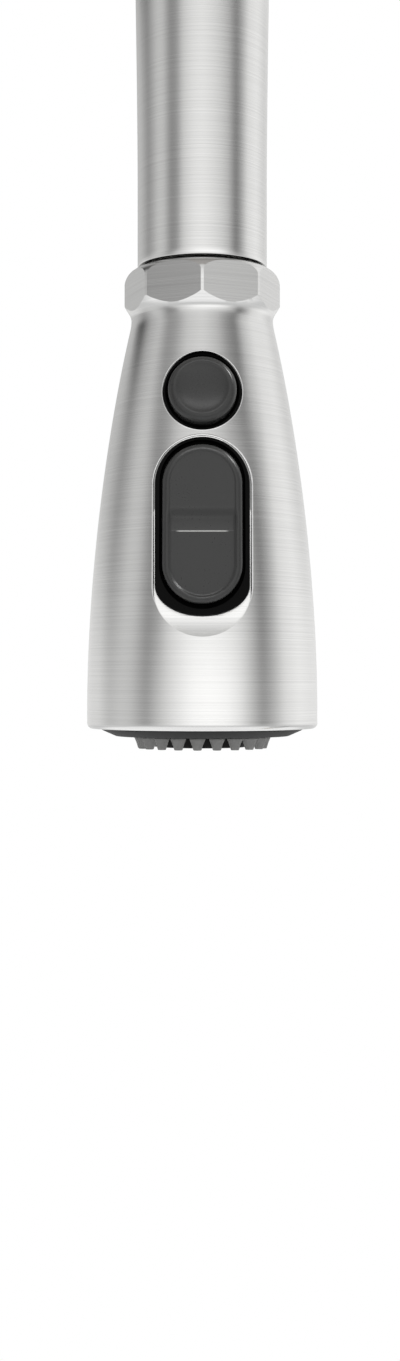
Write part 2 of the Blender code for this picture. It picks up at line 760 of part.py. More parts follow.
def make_hose(dock_frame, spout):
    """The hose's fitting, ferrule, straight run, and the rest of it through the arch and down the riser."""
    fitting = [
        (4 * MM, -8 * MM),
        (8 * MM, -8 * MM),
        (8 * MM, -6 * MM),
        (6.6 * MM, -6 * MM),
        (6.6 * MM, -4 * MM),
        (8 * MM, -4 * MM),
        (8 * MM, 0.6 * MM),
        (FITTING_FLANGE_R, 1.2 * MM),
        (FITTING_FLANGE_R, 6.6 * MM),
        (FERRULE_R, 7.6 * MM),
        (4 * MM, 7.6 * MM),
    ]
    turned("hose_fitting", fitting, SLIM, LOOKS["brass"], dock_frame)
    ferrule = chamfered_ring(4 * MM, FERRULE_R, 7.9 * MM, FERRULE_TOP, 0.8 * MM)
    turned("hose_ferrule", ferrule, SLIM, LOOKS["chrome"], dock_frame)
    run = ring(4 * MM, HOSE_R, FERRULE_TOP + FIT, DROP - FIT)
    turned("hose_run", run, SLIM, LOOKS["braid"], dock_frame)
    points = [(-REACH, 0, ARCH_Z), (-REACH, 0, ARCH_Z + 1 * MM)] + arch_points()[1:]
    points += [(0, 0, INLET_TOP), (0, 0, HOSE_END)]
    swept("hose_upper", points, [HOSE_R] * len(points), SMALL, LOOKS["braid"], spout, True)
    coupling = [
        (HOSE_R + FIT, HOSE_END + 4 * MM),
        (COUPLING_R, HOSE_END + 4 * MM),
        (COUPLING_R, HOSE_END + COUPLING_LENGTH),
        (COUPLING_R - 1 * MM, HOSE_END + COUPLING_LENGTH + 1 * MM),
        (HOSE_R + FIT, HOSE_END + COUPLING_LENGTH + 1 * MM),
    ]
    turned("hose_coupling", coupling, SLIM, LOOKS["brass"], spout)


# ---- Spout -------------------------------------------------------------------------------------------
def arch_points():
    """The arch's centre line from the down leg to the riser."""
    turns = [math.pi * step / ARCH_STEPS for step in range(ARCH_STEPS + 1)]
    return [(-ARCH_R - ARCH_R * math.cos(turn), 0, ARCH_Z + ARCH_R * math.sin(turn)) for turn in turns]


def make_spout(spout):
    """The gooseneck tube, from the swivel bore over the arch to the dock, where it is drawn in."""
    tip = SEAM_Z + SEAM_GAP
    run = DROP - SEAM_GAP
    points, radii = [(-REACH, 0, tip), (-REACH, 0, SEAM_Z + TIP_LENGTH)], [TIP_R, TIP_R]
    for step in (1, 2, 3):
        share = step / 4
        height = SEAM_Z + TIP_LENGTH + (run - TIP_LENGTH) * share
        points.append((-REACH, 0, height))
        radii.append(TIP_R + (SPOUT_R - TIP_R) * share**1.5)
    points += arch_points()
    radii += [SPOUT_R] * (ARCH_STEPS + 1)
    points.append((0, 0, BODY_TOP - SWIVEL_DEPTH + 4 * MM))
    radii.append(SPOUT_R)
    tube = swept("spout_tube", points, radii, ROUND, LOOKS["steel"], spout, False)
    wall = tube.modifiers.new("wall", "SOLIDIFY")
    wall.thickness = SPOUT_WALL
    wall.offset = -1
    wall.use_even_offset = True
    low = BODY_TOP - SWIVEL_DEPTH + 2 * MM
    inner = SPOUT_R - SPOUT_WALL
    stub = [
        (inner - 2 * MM, low),
        (SPOUT_R, low),
        (SPOUT_R, low + 1.6 * MM),
        (inner - FIT, low + 1.6 * MM),
        (inner - FIT, low + 16 * MM),
        (inner - 2 * MM, low + 16 * MM),
    ]
    turned("spout_stub", stub, ROUND, LOOKS["brass"], spout)


def make_swivel(body):
    """Two plastic bushes in the body that the spout turns in."""
    inner, outer = SPOUT_R + FIT, SWIVEL_BORE_R - FIT
    for name, low in (
        ("upper_bush", BODY_TOP - BUSH_HEIGHT - 0.6 * MM),
        ("lower_bush", BODY_TOP - SWIVEL_DEPTH + 5 * MM),
    ):
        turned(name, ring(inner, outer, low, low + BUSH_HEIGHT), ROUND, LOOKS["plastic"], body)


# ---- Body and mounting -------------------------------------------------------------------------------
def make_body(root):
    """The turned body with its octagonal collar, and the boss that holds the valve."""
    foot = FLANGE_TOP + FIT
    curve = bezier(
        (BODY_FOOT_R, foot + 2 * MM),
        (BODY_FOOT_R, foot + 34 * MM),
        (BODY_NECK_R + 3 * MM, BODY_NECK_Z - 26 * MM),
        (BODY_NECK_R, BODY_NECK_Z),
        7,
    )
    outline = [(0, foot), (BODY_FOOT_R - 1 * MM, foot)] + curve
    outline += [
        (BODY_COLLAR_R, BODY_COLLAR_LOW),
        (BODY_COLLAR_R, BODY_COLLAR_HIGH),
        (SWIVEL_BORE_R + 1 * MM, BODY_TOP),
        (0, BODY_TOP),
    ]
    body = turned("faucet_body", outline, FINE, LOOKS["steel"], root)
    cut(body, flats(BODY_COLLAR_R * 1.3, BODY_COLLAR_R - 0.2 * MM, BODY_NECK_Z, BODY_TOP + 1 * MM))
    boss = [
        (0, 2 * MM),
        (BOSS_R, 2 * MM),
        (BOSS_R, BOSS_END - 0.8 * MM),
        (BOSS_R - 0.8 * MM, BOSS_END),
        (0, BOSS_END),
    ]
    valve = frame("valve_frame", (0, 0, VALVE_Z), root, math.pi / 2)
    join(body, spun(boss, BORED), valve)
    cut(body, spun(rod(BOSS_BORE_R, BOSS_FLOOR, BOSS_END + 5 * MM), ROUND), valve)
    bore = [
        (0, foot - 2 * MM),
        (SHANK_R + FIT, foot - 2 * MM),
        (SHANK_R + FIT, SHANK_INSIDE + FIT),
        (BODY_BORE_R, SHANK_INSIDE + FIT),
        (BODY_BORE_R, BODY_WEB),
        (HOSE_R + 1 * MM, BODY_WEB),
        (HOSE_R + 1 * MM, BODY_TOP - SWIVEL_DEPTH),
        (SWIVEL_BORE_R, BODY_TOP - SWIVEL_DEPTH),
        (SWIVEL_BORE_R, BODY_TOP + 2 * MM),
        (0, BODY_TOP + 2 * MM),
    ]
    cut(body, spun(bore, ROUND))
    for x, y in TUBES.values():
        cut(body, spun(rod(INLET_R + FIT, BODY_WEB - 2 * MM, INLET_TOP + FIT), SMALL), location=(x, y, 0))
    return valve


def make_mounting(root):
    """Flange and gasket on the deck, the shank through it, and what clamps it from below."""
    turned("flange_gasket", ring(SHANK_R + FIT * 2, GASKET_R, 0, GASKET), ROUND, LOOKS["rubber"], root)
    low = GASKET + FIT
    flange = [
        (SHANK_R + FIT, low),
        (FLANGE_R, low),
        (FLANGE_R, low + 2.4 * MM),
        (FLANGE_R - 0.6 * MM, low + 3.4 * MM),
        (BODY_FOOT_R, FLANGE_TOP),
        (SHANK_R + FIT, FLANGE_TOP),
    ]
    turned("deck_flange", flange, BORED, LOOKS["steel"], root)
    shank = chamfered_ring(SHANK_BORE_R, SHANK_R, SHANK_END, SHANK_INSIDE, 0.8 * MM)
    turned("mounting_shank", shank, ROUND, LOOKS["brass"], root)
    top = -DECK_MAX
    bore = SHANK_R + FIT
    turned("rubber_washer", ring(bore, WASHER_R, top - RUBBER, top), ROUND, LOOKS["rubber"], root)
    top -= RUBBER + FIT
    turned("steel_washer", ring(bore, WASHER_R, top - STEEL, top), ROUND, LOOKS["zinc"], root)
    top -= STEEL + FIT
    nut = add("mounting_nut", spun(rod(NUT_R, top - NUT_HEIGHT, top), 6), LOOKS["brass"], root)
    cut(nut, spun(rod(bore, top - NUT_HEIGHT * 2, top + NUT_HEIGHT), ROUND))
    for name, side in (("jack_screw_left", -1), ("jack_screw_right", 1)):
        at = (side * JACK_AT, 0, 0)
        cut(nut, spun(rod(JACK_R + FIT, top - NUT_HEIGHT * 2, top + NUT_HEIGHT), SMALL), location=at)
        head_top = top - NUT_HEIGHT - 1 * MM
        outline = [
            (0, JACK_END),
            (JACK_HEAD_R, JACK_END),
            (JACK_HEAD_R, head_top),
            (JACK_R, head_top),
            (JACK_R, top - FIT),
            (0, top - FIT),
        ]
        turned(name, outline, SMALL, LOOKS["zinc"], root, at)
    for name, (x, y) in TUBES.items():
        outline = ring(INLET_R - 0.8 * MM, INLET_R, INLET_END, INLET_TOP)
        turned(name, outline, SMALL, LOOKS["copper"], root, (x, y, 0))


# ---- Valve and lever ---------------------------------------------------------------------------------
def make_valve(valve):
    """The cartridge in the boss: housing, ceramic discs, turning carrier, clamping nut and domed cover."""
    housing = [
        (3 * MM, CARTRIDGE_BACK),
        (CARTRIDGE_R, CARTRIDGE_BACK),
        (CARTRIDGE_R, CARTRIDGE_FRONT),
        (CARRIER_R + FIT, CARTRIDGE_FRONT),
        (CARRIER_R + FIT, DISC_STEP),
        (DISC_BORE_R, DISC_STEP),
        (DISC_BORE_R, FIXED_DISC[0] - FIT),
        (3 * MM, FIXED_DISC[0] - FIT),
    ]
    turned("cartridge_housing", housing, ROUND, LOOKS["plastic"], valve)
    turned("fixed_disc", ring(2 * MM, FIXED_DISC_R, *FIXED_DISC), ROUND, LOOKS["ceramic"], valve)
    drop = STEM_TAIL * math.sin(STEM_REST)
    turned("moving_disc", rod(MOVING_DISC_R, *MOVING_DISC), SLIM, LOOKS["ceramic"], valve, (0, -drop, 0))
    turned("stem_carrier", ring(CARRIER_BORE_R, CARRIER_R, *CARRIER), ROUND, LOOKS["plastic"], valve)
    nut = [
        (CARRIER_R + 1.2 * MM, CARTRIDGE_FRONT + FIT),
        (BOSS_BORE_R - FIT, CARTRIDGE_FRONT + FIT),
        (BOSS_BORE_R - FIT, BOSS_END - 1.5 * MM),
        (CARRIER_R + 2.4 * MM, BOSS_END - 1.5 * MM),
    ]
    turned("cartridge_nut", nut, ROUND, LOOKS["brass"], valve)
    base = BOSS_END + FIT - PIVOT
    hole, rim = math.asin(DOME_HOLE_R / DOME_R), math.acos(base / DOME_R)
    cover = dome_outline(DOME_R - DOME_WALL, DOME_R, hole, rim)
    turned("valve_cover", [(r, PIVOT + h) for r, h in cover], ROUND, LOOKS["steel"], valve)


def arc(radius, start, end, steps):
    """Points on a circle about the origin between two angles from the pole."""
    turns = [start + (end - start) * step / steps for step in range(steps + 1)]
    return [(radius * math.sin(turn), radius * math.cos(turn)) for turn in turns]


def dome_outline(inner, outer, start, end, steps=5):
    """A spherical cap's wall about the origin, between two angles from the pole, cut level at its foot."""
    turns = [start + (end - start) * step / steps for step in range(steps + 1)]
    outside = [(outer * math.sin(turn), outer * math.cos(turn)) for turn in turns]
    foot = outside[-1][1]
    inside = [(inner * math.sin(turn), inner * math.cos(turn)) for turn in turns]
    inside = [point for point in inside if point[1] > foot]
    return outside + [(math.sqrt(inner**2 - foot**2), foot)] + inside[::-1]


def make_lever(valve):
    """The stem and the lever on it, about the dome's centre, raised at rest by the stem's rest angle."""
    tilt = frame("lever_frame", (0, 0, PIVOT), valve, -STEM_REST)
    half = STEM_WIDTH / 2
    bar = box((-half, half), (-half, half), (-STEM_TAIL + FIT, STEM_OUT - 2 * MM))
    stem = add("valve_stem", bar, LOOKS["brass"], tilt)
    slim = stem.modifiers.new("edges", "BEVEL")
    slim.width = 0.5 * MM
    slim.segments = 1
    inner = DOME_R + HUB_GAP
    hub = arc(HUB_R, 0, HUB_ANGLE, 6) + [(0, HUB_R * math.cos(HUB_ANGLE))]
    lever = turned("lever_handle", hub, ROUND, LOOKS["steel"], tilt)
    join(lever, blade())
    cut(lever, spun(arc(inner, 0, math.pi, 16), ROUND))
    socket = half + FIT
    cut(lever, box((-socket, socket), (-socket, socket), (0, STEM_OUT - 1.4 * MM)))
    # A grub screw from below locks the lever on its stem, behind a small plug.
    at = (0, 0, inner + 1.9 * MM)
    screw = laid(spun(rod(1.2 * MM, half + FIT, half + 6 * MM), SMALL), "X")
    add("grub_screw", screw, LOOKS["zinc"], tilt, at)
    cut(lever, laid(spun(rod(1.2 * MM + FIT, 0, HUB_R), SMALL), "X"), location=at)


def blade():
    """The lever's blade: rounded sections from the hub along the lever, slimmer towards the end."""
    shape = bmesh.new()
    loops = []
    start = Vector((0, 6 * MM, HUB_R - 2.6 * MM))
    along = Vector((0, math.cos(LEVER_LEAN), math.sin(LEVER_LEAN)))
    across = Vector((0, -math.sin(LEVER_LEAN), math.cos(LEVER_LEAN)))
    for share, wide, thick in BLADE:
        centre = start + along * LEVER_LENGTH * share
        loop = []
        for step in range(12):
            turn = TURN * step / 12
            x = math.copysign(abs(math.cos(turn)) ** 0.7, math.cos(turn)) * wide * MM
            y = math.copysign(abs(math.sin(turn)) ** 0.7, math.sin(turn)) * thick * MM
            loop.append(shape.verts.new(centre + Vector((x, 0, 0)) + across * y))
        loops.append(loop)
    for lower, upper in zip(loops, loops[1:]):
        for step in range(12):
            after = (step + 1) % 12
            shape.faces.new((lower[step], lower[after], upper[after], upper[step]))
    shape.faces.new(loops[0][::-1])
    shape.faces.new(loops[-1])
    return shape


LOOKS = {}


def make_looks():
    for name, colour, roughness, metallic in (
        ("steel", (0.62, 0.62, 0.61), 0.3, 1),
        ("chrome", (0.75, 0.75, 0.75), 0.12, 1),
        ("brass", (0.66, 0.5, 0.24), 0.35, 1),
        ("copper", (0.7, 0.36, 0.22), 0.35, 1),
        ("zinc", (0.55, 0.57, 0.58), 0.4, 1),
        ("pin", (0.6, 0.6, 0.6), 0.25, 1),
        ("spring", (0.5, 0.5, 0.5), 0.3, 1),
        ("magnet", (0.18, 0.18, 0.19), 0.4, 1),
        ("grey", (0.05, 0.05, 0.05), 0.35, 0),
        ("black", (0.008, 0.008, 0.008), 0.4, 0),
        ("face", (0.035, 0.035, 0.035), 0.45, 0),
        ("silicone", (0.22, 0.22, 0.22), 0.6, 0),
        ("rubber", (0.02, 0.02, 0.02), 0.7, 0),
        ("plastic", (0.75, 0.75, 0.72), 0.5, 0),
        ("filter", (0.3, 0.4, 0.55), 0.5, 0),
        ("ceramic", (0.85, 0.84, 0.8), 0.25, 0),
        ("braid", (0.3, 0.3, 0.3), 0.6, 0),
        ("helper", (1, 0, 1), 0.5, 0),
    ):
        LOOKS[name] = material(name, colour, roughness, metallic)


def main():
    for old in list(bpy.data.objects):
        bpy.data.objects.remove(old)
    make_looks()
    root = frame("faucet", (0, 0, 0))
    spout = frame("spout", (0, 0, 0), root)
    spout_dock = frame("spout_dock", (-REACH, 0, SEAM_Z), spout)
    hose_end = frame("hose_end", (-REACH, 0, SEAM_Z), spout)
    head = frame("spray_head", (0, 0, 0), hose_end)

    shell = make_head_shell(head)
    make_round_button(head, shell)
    core = make_core(head)
    make_rocker(head, core)
    make_inlet(head)
    make_face(head)
    make_dock(head, spout_dock)
    make_hose(hose_end, spout)
    make_spout(spout)
    make_mounting(root)
    valve = make_body(root)
    make_swivel(root)
    make_valve(valve)
    make_lever(valve)


main()
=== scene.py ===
"""Looks of a pull-down kitchen faucet: brushed steel spout, body and spray head, dark buttons, grey nozzles.

Every piece is built in the faucet's own frame, in metres: the deck hole is the origin, +Z is up, the spout reaches
along -X and the spray head's buttons face -Y.
"""

import json
import logging
import math
from dataclasses import dataclass, field
from enum import Enum
from typing import Any, Iterable, Optional, Sequence, Union

import bmesh
import bpy
from mathutils import Matrix, Vector


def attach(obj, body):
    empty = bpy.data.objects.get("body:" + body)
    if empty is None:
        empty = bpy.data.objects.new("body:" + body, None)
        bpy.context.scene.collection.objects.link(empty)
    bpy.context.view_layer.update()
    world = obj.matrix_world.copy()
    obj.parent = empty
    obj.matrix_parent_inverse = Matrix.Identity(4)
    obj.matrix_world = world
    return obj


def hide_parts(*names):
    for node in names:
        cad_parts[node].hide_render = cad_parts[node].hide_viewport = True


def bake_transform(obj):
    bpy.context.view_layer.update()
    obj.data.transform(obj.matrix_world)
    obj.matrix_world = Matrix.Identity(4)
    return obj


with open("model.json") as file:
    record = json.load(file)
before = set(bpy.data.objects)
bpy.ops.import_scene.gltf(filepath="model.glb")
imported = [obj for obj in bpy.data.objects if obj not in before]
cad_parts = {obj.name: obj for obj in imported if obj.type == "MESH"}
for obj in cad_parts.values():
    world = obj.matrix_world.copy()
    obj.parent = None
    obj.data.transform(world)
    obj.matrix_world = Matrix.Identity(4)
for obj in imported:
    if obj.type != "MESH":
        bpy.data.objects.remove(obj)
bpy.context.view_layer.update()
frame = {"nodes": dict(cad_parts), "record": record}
LOG = logging.getLogger("faucet")

MM = 0.001
TURN = 2 * math.pi
NEAR = 0.01 * MM  # slack when a point is tested against a plane
REACH = 210 * MM
SEAM_Z = 288 * MM
ARCH_Z = 350 * MM
ARCH_R = REACH / 2
SPOUT_R = 15 * MM
TIP_R = 14.5 * MM
SEAM_GAP = 0.5 * MM
SEAM_DROP = 0.75 * MM
HEAD_PLACE = Matrix.Translation((-REACH, 0, SEAM_Z))
PAST_FRONT = 34 * MM  # a depth in front of every part of the head
GROOVE_EDGE = -61.1 * MM
VALVE_Z = 58 * MM
FACET = 14  # degrees; creases past this angle stay crisp on the head and the body
Point = tuple[float, float]


# ---- Mesh work -----------------------------------------------------------------------------------------------------
def smooth(value: float, low: float, high: float) -> float:
    """A smooth rise.

    Args:
        value: where it is read.
        low: where it leaves 0.
        high: where it reaches 1.

    Returns:
        A number from 0 to 1.
    """
    share = min(1.0, max(0.0, (value - low) / (high - low)))
    return share * share * (3 - 2 * share)


def spin(outline: Sequence[Point], steps: int = 96, closed: bool = True) -> bmesh.types.BMesh:
    """Turns an outline of (radius, height) points about Z.

    Args:
        outline: the points, in order; points at radius 0 become poles.
        steps: sides of the turned shape.
        closed: whether the last point joins the first.

    Returns:
        A bmesh with its normals outwards.
    """
    shape = bmesh.new()
    points = [shape.verts.new((radius, 0, height)) for radius, height in outline]
    ends = points[1:] + points[:1] if closed else points[1:]
    for start, end in zip(points, ends):
        if start.co.x > 1e-7 or end.co.x > 1e-7:
            shape.edges.new((start, end))
    bmesh.ops.spin(
        shape,
        geom=shape.verts[:] + shape.edges[:],
        cent=(0, 0, 0),
        axis=(0, 0, 1),
        angle=TURN,
        steps=steps,
        use_merge=True,
    )
    bmesh.ops.remove_doubles(shape, verts=shape.verts, dist=1e-7)
    bmesh.ops.recalc_face_normals(shape, faces=shape.faces)
    return shape


def bar(points: Sequence[Point], near: float, far: float) -> bmesh.types.BMesh:
    """A bar along -Y.

    Args:
        points: its (x, z) outline.
        near: depth of its back, at y = -near.
        far: depth of its front, at y = -far.

    Returns:
        The bar as a bmesh.
    """
    shape = bmesh.new()
    face = shape.faces.new([shape.verts.new((x, -near, z)) for x, z in points])
    made = bmesh.ops.extrude_face_region(shape, geom=[face])
    front = [item for item in made["geom"] if isinstance(item, bmesh.types.BMVert)]
    bmesh.ops.translate(shape, verts=front, vec=(0, near - far, 0))
    bmesh.ops.recalc_face_normals(shape, faces=shape.faces)
    return shape


def obround(radius: float, top: float, low: float, steps: int = 32, flat: float = 1.0) -> list[Point]:
    """The (x, z) outline of an upright obround; flat squashes its lower end.

    Args:
        radius: half its width.
        top: height of its upper end's centre.
        low: height of its lower end's centre.
        steps: sides of each end.
        flat: the lower end's depth as a share of the radius.

    Returns:
        The points in order.
    """
    outline = []
    for centre, start, tall in ((top, 0.0, radius), (low, math.pi, radius * flat)):
        for step in range(steps + 1):
            turn = start + math.pi * step / steps
            outline.append((radius * math.cos(turn), centre + tall * math.sin(turn)))
    return outline


def arc(centre: Point, radius: float, start: float, end: float, steps: int) -> list[Point]:
    """Points on a circle.

    Args:
        centre: its centre.
        radius: its radius.
        start: the first point's angle in degrees, counted from the first axis.
        end: the last point's angle.
        steps: steps between them.

    Returns:
        The points in order.
    """
    turns = [math.radians(start + (end - start) * step / steps) for step in range(steps + 1)]
    return [(centre[0] + radius * math.cos(turn), centre[1] + radius * math.sin(turn)) for turn in turns]


def mm(points: Iterable[Point]) -> list[Point]:
    """Points given in millimetres, in metres."""
    return [(first * MM, second * MM) for first, second in points]


def oblong(inner: float, outer: float, low: float, high: float) -> list[Point]:
    """A plain four-cornered outline between two radii and two heights."""
    return [(inner, low), (outer, low), (outer, high), (inner, high)]


def curve(corners: Sequence[Point], steps: int) -> list[Point]:
    """Points along a cubic curve.

    Args:
        corners: its start, its two handles and its end.
        steps: steps between its ends.

    Returns:
        The points in order, with both ends.
    """
    outline = []
    for step in range(steps + 1):
        t = step / steps
        u = 1 - t
        weights = (u**3, 3 * u * u * t, 3 * u * t * t, t**3)
        outline.append(tuple(sum(w * c[axis] for w, c in zip(weights, corners)) for axis in (0, 1)))
    return outline


def valve_frame(tilt: float = 0.0, out: float = 0.0) -> Matrix:
    """The valve's frame: local Z out along -Y, local Y up.

    Args:
        tilt: angle that it is tilted up by.
        out: how far out along the valve's axis it sits.

    Returns:
        The frame as a matrix.
    """
    upright = Matrix.Translation((0, 0, VALVE_Z)) @ Matrix.Rotation(math.pi / 2, 4, "X")
    return upright @ Matrix.Translation((0, 0, out)) @ Matrix.Rotation(-tilt, 4, "X")


def soft_ring(inner: float, outer: float, low: float, high: float, edge: float = 0.3 * MM) -> list[Point]:
    """A ring's section with rounded outer edges and broken inner ones.

    Args:
        inner: its inner radius.
        outer: its outer radius.
        low: height of its lower face.
        high: height of its upper face.
        edge: radius of its outer edges.

    Returns:
        The section's points in order.
    """
    section = [(inner, low + edge / 2), (inner + edge / 2, low)]
    section += arc((outer - edge, low + edge), edge, -90, 0, 5)
    section += arc((outer - edge, high - edge), edge, 0, 90, 5)
    return section + [(inner + edge / 2, high), (inner, high - edge / 2)]


def slice_rows(shape: bmesh.types.BMesh, heights: Iterable[float]) -> None:
    """Cuts a shape's faces along level lines, so that it can be shaped row by row."""
    for height in heights:
        geometry = shape.verts[:] + shape.edges[:] + shape.faces[:]
        bmesh.ops.bisect_plane(shape, geom=geometry, dist=1e-7, plane_co=(0, 0, height), plane_no=(0, 0, 1))


def merge(target: bmesh.types.BMesh, source: bmesh.types.BMesh) -> None:
    """Adds one bmesh's geometry to another and frees it."""
    mesh = bpy.data.meshes.new("merge")
    source.to_mesh(mesh)
    source.free()
    target.from_mesh(mesh)
    bpy.data.meshes.remove(mesh)


def placed(shape: bmesh.types.BMesh, place: Matrix) -> bmesh.types.BMesh:
    """Moves a bmesh by a matrix and returns it."""
    bmesh.ops.transform(shape, matrix=place, verts=shape.verts)
    return shape


def link(name: str, shape: bmesh.types.BMesh, sharp: float = 35) -> bpy.types.Object:
    """Makes a bmesh an object at the origin, and frees it.

    Args:
        name: the object's name.
        shape: the bmesh.
        sharp: angle in degrees past which an edge stays sharp.

    Returns:
        The object.
    """
    mesh = bpy.data.meshes.new(name)
    shape.to_mesh(mesh)
    shape.free()
    mesh.shade_smooth()
    mesh.set_sharp_from_angle(angle=math.radians(sharp))
    made = bpy.data.objects.new(name, mesh)
    bpy.context.scene.collection.objects.link(made)
    return made


def carve(
    target: bpy.types.Object, tool: bmesh.types.BMesh, operation: str = "DIFFERENCE", sharp: float = 35
) -> None:
    """Cuts one shape from an object, or joins it on, and keeps the result as the object's mesh.

    Args:
        target: the object.
        tool: the shape, which is freed.
        operation: DIFFERENCE to cut, UNION to join.
        sharp: angle in degrees past which an edge stays sharp.
    """
    helper = link("tool", tool)
    step = target.modifiers.new("carve", "BOOLEAN")
    step.operation = operation
    step.solver = "EXACT"
    step.object = helper
    solid = target.evaluated_get(bpy.context.evaluated_depsgraph_get())
    mesh = bpy.data.meshes.new_from_object(solid)
    target.modifiers.clear()
    old, target.data = target.data, mesh
    bpy.data.meshes.remove(old)
    bpy.data.objects.remove(helper)
    mesh.shade_smooth()
    mesh.set_sharp_from_angle(angle=math.radians(sharp))


def bead(
    path: Sequence[Vector], radii: Sequence[float], sides: int = 10, closed: bool = True
) -> bmesh.types.BMesh:
    """A thin round bead along a path, with its radius at each point.

    Args:
        path: the points along its middle.
        radii: its radius at each point.
        sides: sides of its section.
        closed: whether its end joins its start.

    Returns:
        A bmesh with its normals outwards.
    """
    shape = bmesh.new()
    count = len(path)
    loops = []
    for index, point in enumerate(path):
        after, before = (index + 1) % count, index - 1
        if not closed:
            after, before = min(index + 1, count - 1), max(index - 1, 0)
        along = (path[after] - path[before]).normalized()
        turn = along.to_track_quat("Z", "Y").to_matrix().to_4x4()
        place = Matrix.Translation(point) @ turn
        made = bmesh.ops.create_circle(shape, segments=sides, radius=radii[index], matrix=place)
        loops.append(made["verts"])
    for index, loop in enumerate(loops if closed else loops[:-1]):
        edges = []
        for ring in (loop, loops[(index + 1) % count]):
            edges += [edge for vert in ring for edge in vert.link_edges if all(end in ring for end in edge.verts)]
        bmesh.ops.bridge_loops(shape, edges=list(dict.fromkeys(edges)))
    bmesh.ops.holes_fill(shape, edges=[edge for edge in shape.edges if edge.is_boundary])
    bmesh.ops.recalc_face_normals(shape, faces=shape.faces)
    return shape


def coil(radius: float, wire: float, low: float, high: float, turns: float) -> bmesh.types.BMesh:
    """A compression spring about Z, with closed ends.

    Args:
        radius: radius of its coils.
        wire: radius of its wire.
        low: height of its lowest point.
        high: height of its highest point.
        turns: number of coils.

    Returns:
        The spring as a bmesh.
    """
    count = round(turns * 36)
    closing = smooth(0, -0.1, 1.1)
    path = []
    for step in range(count + 1):
        turn = TURN * turns * step / count
        share = (smooth(step / count, -0.1, 1.1) - closing) / (1 - 2 * closing)
        height = low + wire + (high - low - 2 * wire) * share
        path.append(Vector((radius * math.cos(turn), radius * math.sin(turn), height)))
    return bead(path, [wire] * len(path), 10, False)


# ---- Shader work ---------------------------------------------------------------------------------------------------
Number = Union[float, "Value"]
Tint = Union[Sequence[float], bpy.types.NodeSocket]


class Value:
    """A number that a shader node gives, with arithmetic that adds Math nodes."""

    def __init__(self, tree: bpy.types.NodeTree, socket: bpy.types.NodeSocket) -> None:
        """Wraps a node's output."""
        self.tree = tree
        self.socket = socket

    def maths(self, operation: str, *others: Number, flipped: bool = False, clamp: bool = False) -> "Value":
        """Adds one Math node.

        Args:
            operation: the node's operation.
            others: the numbers after this one.
            flipped: whether this one comes second.
            clamp: whether the result stays between 0 and 1.

        Returns:
            The node's result.
        """
        node = self.tree.nodes.new("ShaderNodeMath")
        node.operation = operation
        node.use_clamp = clamp
        terms: list[Number] = [self, *others]
        if flipped:
            terms[0], terms[1] = terms[1], terms[0]
        for socket, term in zip(node.inputs, terms):
            if isinstance(term, Value):
                self.tree.links.new(term.socket, socket)
            else:
                socket.default_value = term
        return Value(self.tree, node.outputs[0])

    def __add__(self, other: Number) -> "Value":
        """Sum."""
        return self.maths("ADD", other)

    def __sub__(self, other: Number) -> "Value":
        """Difference."""
        return self.maths("SUBTRACT", other)

    def __rsub__(self, other: Number) -> "Value":
        """A plain number less this one."""
        return self.maths("SUBTRACT", other, flipped=True)

    def __mul__(self, other: Number) -> "Value":
        """Product."""
        return self.maths("MULTIPLY", other)

    def __truediv__(self, other: Number) -> "Value":
        """Quotient."""
        return self.maths("DIVIDE", other)

    __rmul__ = __mul__

    def step(self, low: float, high: float) -> "Value":
        """A smooth rise from 0 at low to 1 at high."""
        node = self.tree.nodes.new("ShaderNodeMapRange")
        node.interpolation_type = "SMOOTHSTEP"
        self.tree.links.new(self.socket, node.inputs["Value"])
        node.inputs["From Min"].default_value = low
        node.inputs["From Max"].default_value = high
        return Value(self.tree, node.outputs["Result"])


